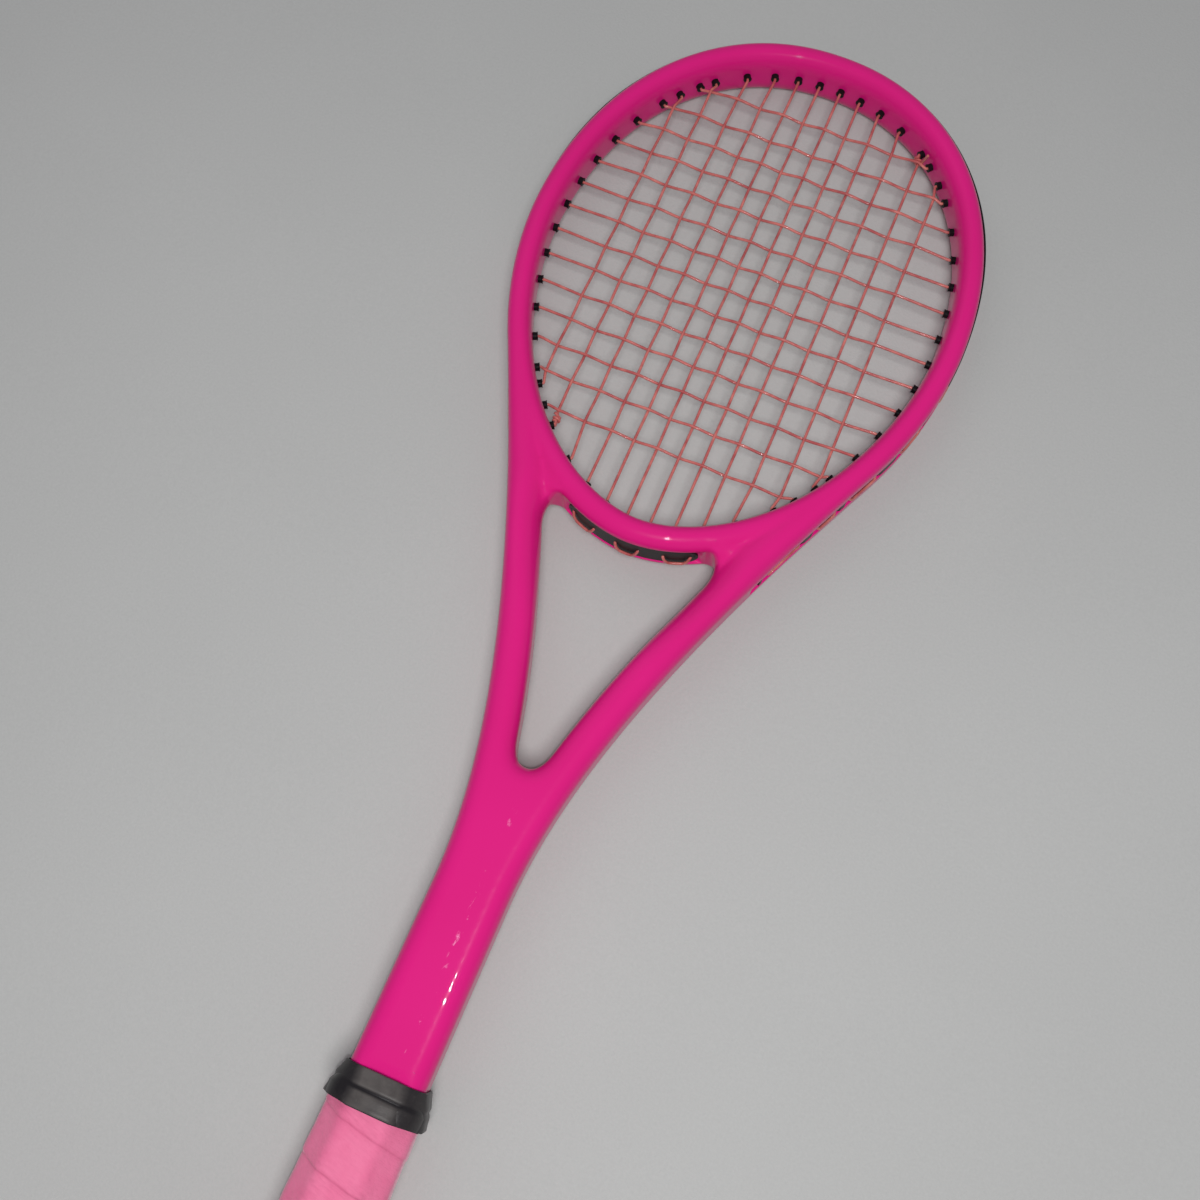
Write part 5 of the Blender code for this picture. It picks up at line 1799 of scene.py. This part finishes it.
@dataclass
class WoundGrip:
    """A grip wound up the eight-sided handle, each turn lapping over the one below."""

    lines: RacketLines
    name: str
    node: str
    slot: str
    finish: TackyGrip
    inner: float
    thickness: float
    pitch: float
    seam_gap: float = 0.0
    start: float = 9.2 * MM
    soft: float = 4.0 * MM
    arc_steps: int = 5
    edge_steps: int = 5
    seam_width: float = 0.5 * MM
    gap_sharpness: float = 2.2
    lap_edge: float = 0.03
    lap_fall: Span = (0.2, 0.75)
    lap_curve: float = 0.8
    swell: float = 0.55
    sunk: float = 0.6
    turned_in: float = 0.9
    wrinkle: float = 0.35 * MM
    wrinkle_scale: float = 110.0
    wrinkle_seed: float = 3.0
    rows: tuple = (0.0, 0.012, 0.03, 0.06, 0.1, 0.15, 0.2, 0.26, 0.33, 0.4, 0.48, 0.56, 0.64, 0.72,
                   0.8, 0.87, 0.93, 0.97)

    def loop(self) -> tuple[Point, Point]:
        """Points round the shrunken eight-sided core.

        Returns:
            The points and their outward normals.
        """
        w, h = self.lines.pallet_width / 2 - self.soft, self.lines.pallet_height / 2 - self.soft
        b = self.lines.pallet_bevel - self.soft * (2 - math.sqrt(2))
        corners = [(w, -(h - b)), (w, h - b), (w - b, h), (-(w - b), h),
                   (-w, h - b), (-w, -(h - b)), (-(w - b), -h), (w - b, -h)]
        points, normals = [], []
        for k, corner in enumerate(corners):
            before, after = corners[k - 1], corners[(k + 1) % 8]
            first = math.atan2(-(corner[0] - before[0]), corner[1] - before[1])
            last = math.atan2(-(after[0] - corner[0]), after[1] - corner[1])
            while last < first:
                last += 2 * math.pi
            for angle in np.linspace(first, last, self.arc_steps + 1):
                points.append(corner)
                normals.append((math.cos(angle), math.sin(angle)))
            for t in np.arange(1, self.edge_steps) / self.edge_steps:
                points.append(tuple(a + (b - a) * t for a, b in zip(corner, after)))
                normals.append((math.cos(last), math.sin(last)))
        return np.array(points), np.array(normals)

    def lift(self, v: float) -> float:
        """Height of the wound surface over its lowest level.

        Args:
            v: Share of the way across one turn.

        Returns:
            Share of the greatest height.
        """
        if self.seam_gap:
            edge = min(v, 1 - v) * self.pitch / self.seam_gap
            return 1 - math.exp(-edge * self.gap_sharpness)
        start, width = self.lap_fall
        fall = 1 - min(1.0, max(0.0, (v - start) / width)) ** self.lap_curve
        return min(1.0, v / self.lap_edge) * fall

    def surface(self) -> tuple[Ring, list[float], list[tuple[int, ...]]]:
        """The wound outside, from the butt end up.

        Returns:
            Its corners, the closeness of each to a seam, and its faces.
        """
        around, normals = self.loop()
        end, size = self.lines.grip_end, len(around)
        core = around + normals * self.soft
        pieces = np.linalg.norm(np.diff(np.concatenate((core, core[:1])), axis=0), axis=1)
        along = np.concatenate(((0.0,), np.cumsum(pieces)))
        phase = along[:-1] / along[-1]
        steps = (int((end - self.start) / self.pitch) + 2) * size
        outer, count = self.inner + self.thickness, len(self.rows)
        corners, seams = [], []
        for step in range(steps + 1):
            turn, i = divmod(step, size)
            for v in self.rows:
                y = self.start + self.pitch * (turn - 1 + phase[i] + v)
                rise = self.thickness * (self.swell * self.lift(v) - self.sunk)
                spot = around[i] + normals[i] * (self.soft + outer + rise)
                corners.append((spot[0], min(max(y, self.start), end), spot[1]))
                # Closeness to a seam, which the grip's finish darkens as painted shade.
                seams.append(math.exp(-min(v, 1 - v) * self.pitch / self.seam_width))
        faces = []
        for step in range(steps):
            for row in range(count):
                here, above = step * count + row, step * count + row + 1
                if row == count - 1:
                    if step + size + 1 > steps:
                        continue
                    above = (step + size) * count
                faces.append((here, above, above + count, here + count))
        return corners, seams, faces

    def build(self) -> None:
        """Make and place the grip."""
        mesh = self.closed_grip(*self.surface())
        painted = self.finish.build()
        mesh = wrinkle_growth().grow(self.name, mesh, painted, Scale=self.wrinkle_scale,
                                     Depth=self.wrinkle, Seed=self.wrinkle_seed)
        place(self.name, mesh, painted, replaced=[self.node], crease=60)

    def closed_grip(self, corners: Ring, seams: list[float],
                    faces: list[tuple[int, ...]]) -> bpy.types.Mesh:
        """The wound surface with its ends turned in and an inner wall.

        Args:
            corners: Corners of the wound surface.
            seams: Closeness of each corner to a seam.
            faces: Its faces.

        Returns:
            A closed mesh with the attributes "seam" and "give".
        """
        mesh = bpy.data.meshes.new(self.name)
        mesh.from_pydata(corners, [], faces)
        shape = bmesh.new()
        shape.from_mesh(mesh)
        seam = shape.verts.layers.float.new("seam")
        give = shape.verts.layers.float.new("give")
        for vert, value in zip(shape.verts, seams):
            vert[seam], vert[give] = value, 1.0
        bmesh.ops.remove_doubles(shape, verts=shape.verts, dist=TINY)
        bmesh.ops.dissolve_degenerate(shape, dist=TINY, edges=shape.edges)
        loose = [v for v in shape.verts if not v.link_faces]
        bmesh.ops.delete(shape, geom=loose, context="VERTS")
        rims = [edge for edge in shape.edges if edge.is_boundary]
        grown = bmesh.ops.extrude_edge_only(shape, edges=rims)
        depth = self.thickness * self.turned_in
        inner_edges = [item for item in grown["geom"] if isinstance(item, bmesh.types.BMEdge)]
        for vert in {v for edge in inner_edges for v in edge.verts}:
            less = 1 - depth / math.hypot(vert.co.x, vert.co.z)
            vert.co.x *= less
            vert.co.z *= less
            vert[give] = 0.0
        bmesh.ops.bridge_loops(shape, edges=[e for e in inner_edges if e.is_boundary])
        bmesh.ops.recalc_face_normals(shape, faces=shape.faces)
        shape.to_mesh(mesh)
        shape.free()
        return mesh


@dataclass
class Collar:
    """Rubber collar over the grip's end: flat facets, a recessed line and a flared lower edge."""

    lines: RacketLines
    stack: float = 3.45 * MM
    wall: float = 0.8 * MM
    recess: float = 1.1 * MM
    low_corner: float = 10 * MM
    high_corner: float = 4.5 * MM
    # Half-width of the painted sheen on the flat facets.
    sheen_half_width: float = 9 * MM
    facet_flat: float = 0.55
    # Place of the recessed line and of its painted shade, as a share of the collar's height.
    line_share: float = 0.48
    steps: int = 8

    def build(self) -> None:
        """Make and place the collar."""
        lines, full = self.lines, 2 * self.wall
        wide = lines.pallet_width + 2 * self.stack
        tall = lines.pallet_height + 2 * self.stack
        slim = lines.shaft_width + 2 * lines.clearance
        thin = lines.beam_height + 2 * lines.clearance
        outside = ((0.0, -0.1, 0.2 * MM), (0.03, -0.1, 0.0), (0.1, -0.03, 0.0), (0.2, 0.06, 0.0),
                   (0.32, 0.13, 0.0), (0.38, 0.18, 0.12 * MM), (0.42, 0.21, 0.6 * MM),
                   (0.46, 0.24, self.recess), (0.5, 0.27, self.recess), (0.54, 0.31, 0.6 * MM),
                   (0.58, 0.36, 0.12 * MM), (0.64, 0.46, 0.0), (0.76, 0.68, 0.0), (0.88, 0.88, 0.0),
                   (0.965, 0.985, 0.0), (0.99, 1.0, 0.3 * MM), (1.0, 1.0, 0.9 * MM))
        bore = ((1.0, 1.0, full), (0.78, 1.0, full), (0.6, 0.62, full), (0.36, 0.0, full),
                (0.0, 0.0, full))
        rings = []
        for share, mix, less in outside + bore:
            grow = full - less
            rings.append(corner_loop(
                wide + (slim - wide) * mix + grow, tall + (thin - tall) * mix + grow,
                self.low_corner + (self.high_corner - self.low_corner) * mix + grow / 2, self.steps,
                lines.collar_bottom + share * lines.collar_height,
                flat=self.facet_flat if grow else 0.0))
        # The paler colour serves random clouds and dust and the facets' painted sheen; painted
        # shade darkens the recessed line.
        rubber = Moulded("black_rubber", rgb(25, 21, 24), rgb(86, 81, 79), 0.42, 1500.0,
                         sheen_half_width=self.sheen_half_width,
                         line=lines.collar_bottom + self.line_share * lines.collar_height).build()
        place("soft_collar", skin(rings, wrap=True), rubber, "collar", ["grip_collar"])


@dataclass
class ButtEnd:
    """Butt cap with its flared lip, and the door in its end."""

    lines: RacketLines
    width: float = 39 * MM
    height: float = 35 * MM
    corner: float = 12.5 * MM
    lip: float = 5 * MM
    lip_round: float = 2.2 * MM
    lip_fall: float = 1.2 * MM
    sleeve: float = 26 * MM
    sleeve_edge: float = 0.4 * MM
    wall: float = 1.3 * MM
    end_wall: float = 3.2 * MM
    door_width: float = 21 * MM
    door_height: float = 16 * MM
    door_thickness: float = 1.6 * MM
    plug_depth: float = 7 * MM
    ledge: float = 2.2 * MM
    door_corner: float = 4 * MM
    steps: int = 8

    def grip_ring(self, y: float, offset: float) -> Ring:
        """Ring that follows the eight-sided handle at an offset."""
        lines = self.lines
        return corner_loop(lines.pallet_width + 2 * offset, lines.pallet_height + 2 * offset,
                           lines.pallet_bevel + (2 - math.sqrt(2)) * offset, self.steps, y, 1.0)

    def box_ring(self, y: float, less: float, kind: str) -> Ring:
        """Ring of the flared lip, the door's rebate or its ledge.

        Args:
            y: Place along the racket.
            less: Size by which it is narrower and lower.
            kind: Which of the three.

        Returns:
            The ring.
        """
        gap = self.lines.clearance
        width, height, corner = {
            "lip": (self.width, self.height, self.corner),
            "rebate": (self.door_width + 2 * gap, self.door_height + 2 * gap,
                       self.door_corner + gap),
            "ledge": (self.door_width - 2 * self.ledge, self.door_height - 2 * self.ledge,
                      self.door_corner)}[kind]
        return corner_loop(width - less, height - less, corner - less / 2, self.steps, y)

    def build(self) -> None:
        """Make and place the cap and the door."""
        seat = self.door_thickness + self.lines.clearance
        rings = [self.box_ring(seat, 0.0, "rebate"), self.box_ring(0.3 * MM, 0.0, "rebate"),
                 self.box_ring(0.0, -0.6 * MM, "rebate")]
        for angle in np.linspace(0, math.pi / 2, 7):
            rings.append(self.box_ring(self.lip_round * (1 - math.cos(angle)),
                                       2 * self.lip_round * (1 - math.sin(angle)), "lip"))
        for t in np.linspace(0.1, 1, 7):
            rings.append(self.box_ring(self.lip_round + (self.lip - self.lip_round) * t,
                                       self.lip_fall * t * t, "lip"))
        rings += [self.grip_ring(y, offset) for y, offset in (
            (1.7 * self.lip, 0.0), (self.sleeve - self.sleeve_edge, 0.0),
            (self.sleeve, -self.sleeve_edge), (self.sleeve, -self.wall),
            (self.end_wall, -self.wall))]
        rings += [self.box_ring(self.end_wall, 0.0, "ledge"), self.box_ring(seat, 0.0, "ledge")]
        plastic = Moulded("cap_plastic", rgb(26, 25, 27), rgb(58, 56, 58), 0.33, 1800.0).build()
        place("flared_butt_cap", skin(rings, wrap=True), plastic, replaced=["butt_cap"])
        self.build_door(plastic)

    def build_door(self, plastic: bpy.types.Material) -> None:
        """Make and place the door, with a dished finger pull in its face.

        Args:
            plastic: The cap's material.
        """
        plug = 2 * (self.ledge + self.lines.clearance)
        rows = [(0.25 * MM, 9 * MM), (0.25 * MM, 8 * MM), (0.0, 7.2 * MM), (0.0, 1.2 * MM),
                (0.12 * MM, 0.6 * MM), (0.4 * MM, 0.2 * MM), (0.7 * MM, 0.0),
                (self.door_thickness, 0.0), (self.door_thickness, plug),
                (self.plug_depth - 1 * MM, plug), (self.plug_depth, plug + 1 * MM)]
        rings = [corner_loop(self.door_width - less, self.door_height - less,
                             max(1 * MM, self.door_corner - less / 6), self.steps, y)
                 for y, less in rows]
        place("cap_door", skin(rings), plastic, "door", ["butt_cap_door"])


@dataclass
class HiddenPieces:
    """Pieces inside the handle, which keep their CAD shape."""

    nodes: dict[str, bpy.types.Object]

    def dress(self) -> None:
        """Give each CAD piece that stays its own finish."""
        shell = Foam("pallet_foam", rgb(150, 148, 140), rgb(96, 94, 88)).build()
        plug = Foam("plug_foam", rgb(196, 190, 172), rgb(140, 132, 112)).build()
        tape = Moulded("tape_vinyl", rgb(30, 30, 32), rgb(64, 62, 62), 0.4, 900.0).build()
        wire = Steel().build()
        pieces = {"handle_pallet_front": shell, "handle_pallet_back": shell, "foam_plug_left": plug,
                  "foam_plug_right": plug, "finishing_tape": tape, "butt_cap_staple_left": wire,
                  "butt_cap_staple_right": wire}
        for name, finish in pieces.items():
            mesh = self.nodes[name].data
            mesh.materials.clear()
            mesh.materials.append(finish)
            log.info("%s: CAD shape kept", name)


# ---------------- studio


@dataclass
class Studio:
    """Pale floor, soft light and the photograph's camera."""

    focal: float = 39.0
    camera_rows: tuple = ((0.920234, 0.391365, 0.001745), (0.372976, -0.875627, -0.306865),
                          (-0.118568, 0.283038, -0.951752))
    camera_shift: tuple = (0.062484, -0.137519, 0.561965)
    aim: float = 564.2 * MM
    floor_size: float = 3.0
    floor_beyond: float = 0.6
    floor_under_grip: Span = (204 * MM, -17.05 * MM)
    floor_under_head: Span = (679 * MM, -12.1 * MM)
    lamps: tuple = (("key", (0.22, 0.0, 1.15), (0.0, 0.42, 0.0), 0.5, 10.5),
                    ("fill", (-0.7, 1.0, 1.1), (0.0, 0.4, 0.0), 1.2, 2.0),
                    ("spark", (0.08, 0.24, 0.55), (0.0, 0.45, 0.0), 0.014, 0.55))
    mirrored_below: float = 0.1
    sky: Colour = (0.9, 0.92, 1.0, 1.0)
    sky_strength: float = 0.22

    def camera(self) -> None:
        """Place the camera at the photograph's angle."""
        rows = np.array(self.camera_rows)
        eye = -rows.T @ np.array(self.camera_shift) + np.array((0.0, self.aim, 0.0))
        data = bpy.data.cameras.new("camera")
        data.lens, data.sensor_width, data.sensor_fit = self.focal, 36.0, "HORIZONTAL"
        data.clip_start, data.clip_end = 0.01, 20.0
        camera = add_object("camera", data)
        axes = Matrix(((*rows[0],), (*-rows[1],), (*-rows[2],))).transposed()
        camera.matrix_world = Matrix.Translation(eye) @ axes.to_4x4()
        bpy.context.scene.camera = camera

    def floor(self) -> None:
        """Lay the floor under the collar, the cap and the tip."""
        tree = FinishTree("pale_floor")
        fine = tree.noise(900, 2, 0.6)
        clouds = tree.noise(5, 3)
        base = tree.blend(clouds * 0.5 + fine * 0.5, rgb(168, 168, 166), rgb(186, 186, 184))
        paint = tree.finish(Base_Color=base, Roughness=0.62, Normal=tree.bump(fine, 0.1 * MM))
        mesh = bpy.data.meshes.new("floor")
        half = self.floor_size / 2
        (near, low), (far, high) = self.floor_under_grip, self.floor_under_head
        slope = (high - low) / (far - near)
        back = half + self.floor_beyond
        spots = [(x, y, low + (y - near) * slope) for x, y in
                 ((-half, -half), (half, -half), (half, back), (-half, back))]
        mesh.from_pydata(spots, [], [(0, 1, 2, 3)])
        mesh.materials.append(paint)
        floor = add_object("floor", mesh)

    def lamp(self, name: str, place_at: Corner, aim: Corner, size: float, power: float) -> None:
        """Add a round lamp; a wide one lights without a mirror image of its own.

        Args:
            name: Name of the lamp.
            place_at: Its place.
            aim: Point that it faces.
            size: Its width.
            power: Power in watts.
        """
        data = bpy.data.lights.new(name, "AREA")
        data.shape, data.size, data.energy = "DISK", size, power
        lamp = add_object(name, data)
        lamp.visible_glossy = size < self.mirrored_below
        lamp.location = place_at
        lamp.rotation_euler = (Vector(aim) - Vector(place_at)).to_track_quat("-Z", "Y").to_euler()

    def build(self) -> None:
        """Set up the whole studio."""
        self.camera()
        self.floor()
        for lamp in self.lamps:
            self.lamp(*lamp)
        world = bpy.data.worlds.new("studio")
        world.use_nodes = True
        back = world.node_tree.nodes["Background"]
        back.inputs["Color"].default_value = self.sky
        back.inputs["Strength"].default_value = self.sky_strength
        bpy.context.scene.world = world
        bpy.context.scene.view_settings.view_transform = "Standard"


# ---------------- assembly


def main() -> None:
    """Build every sub-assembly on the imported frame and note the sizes."""
    logging.basicConfig(level=logging.INFO, format="%(message)s")
    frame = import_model()
    lines = RacketLines()
    holes = lines.string_holes()
    MouldedFrame(lines).build(holes)
    bed = StringBed(lines, holes)
    Grommets(lines, holes, bed.spans).build()
    bed.build()
    # Each grip's second colour is the tone of its painted shade in the seams and creases.
    WoundGrip(lines, "base_grip_wrap", "base_grip", "base_grip",
              TackyGrip("black_grip", rgb(36, 35, 36), rgb(14, 14, 14), rgb(56, 54, 54), 0.6, True),
              0.3 * MM, 1.5 * MM, 21 * MM, seam_gap=0.6 * MM, wrinkle=0.0).build()
    WoundGrip(lines, "overgrip_wrap", "overgrip", "overgrip",
              TackyGrip("pink_grip", rgb(226, 108, 148), rgb(176, 70, 106), rgb(238, 136, 170)),
              2.1 * MM, 0.6 * MM, 18 * MM).build()
    Collar(lines).build()
    ButtEnd(lines).build()
    HiddenPieces(frame["nodes"]).dress()
    Studio().build()


if __name__ == "__main__":
    main()
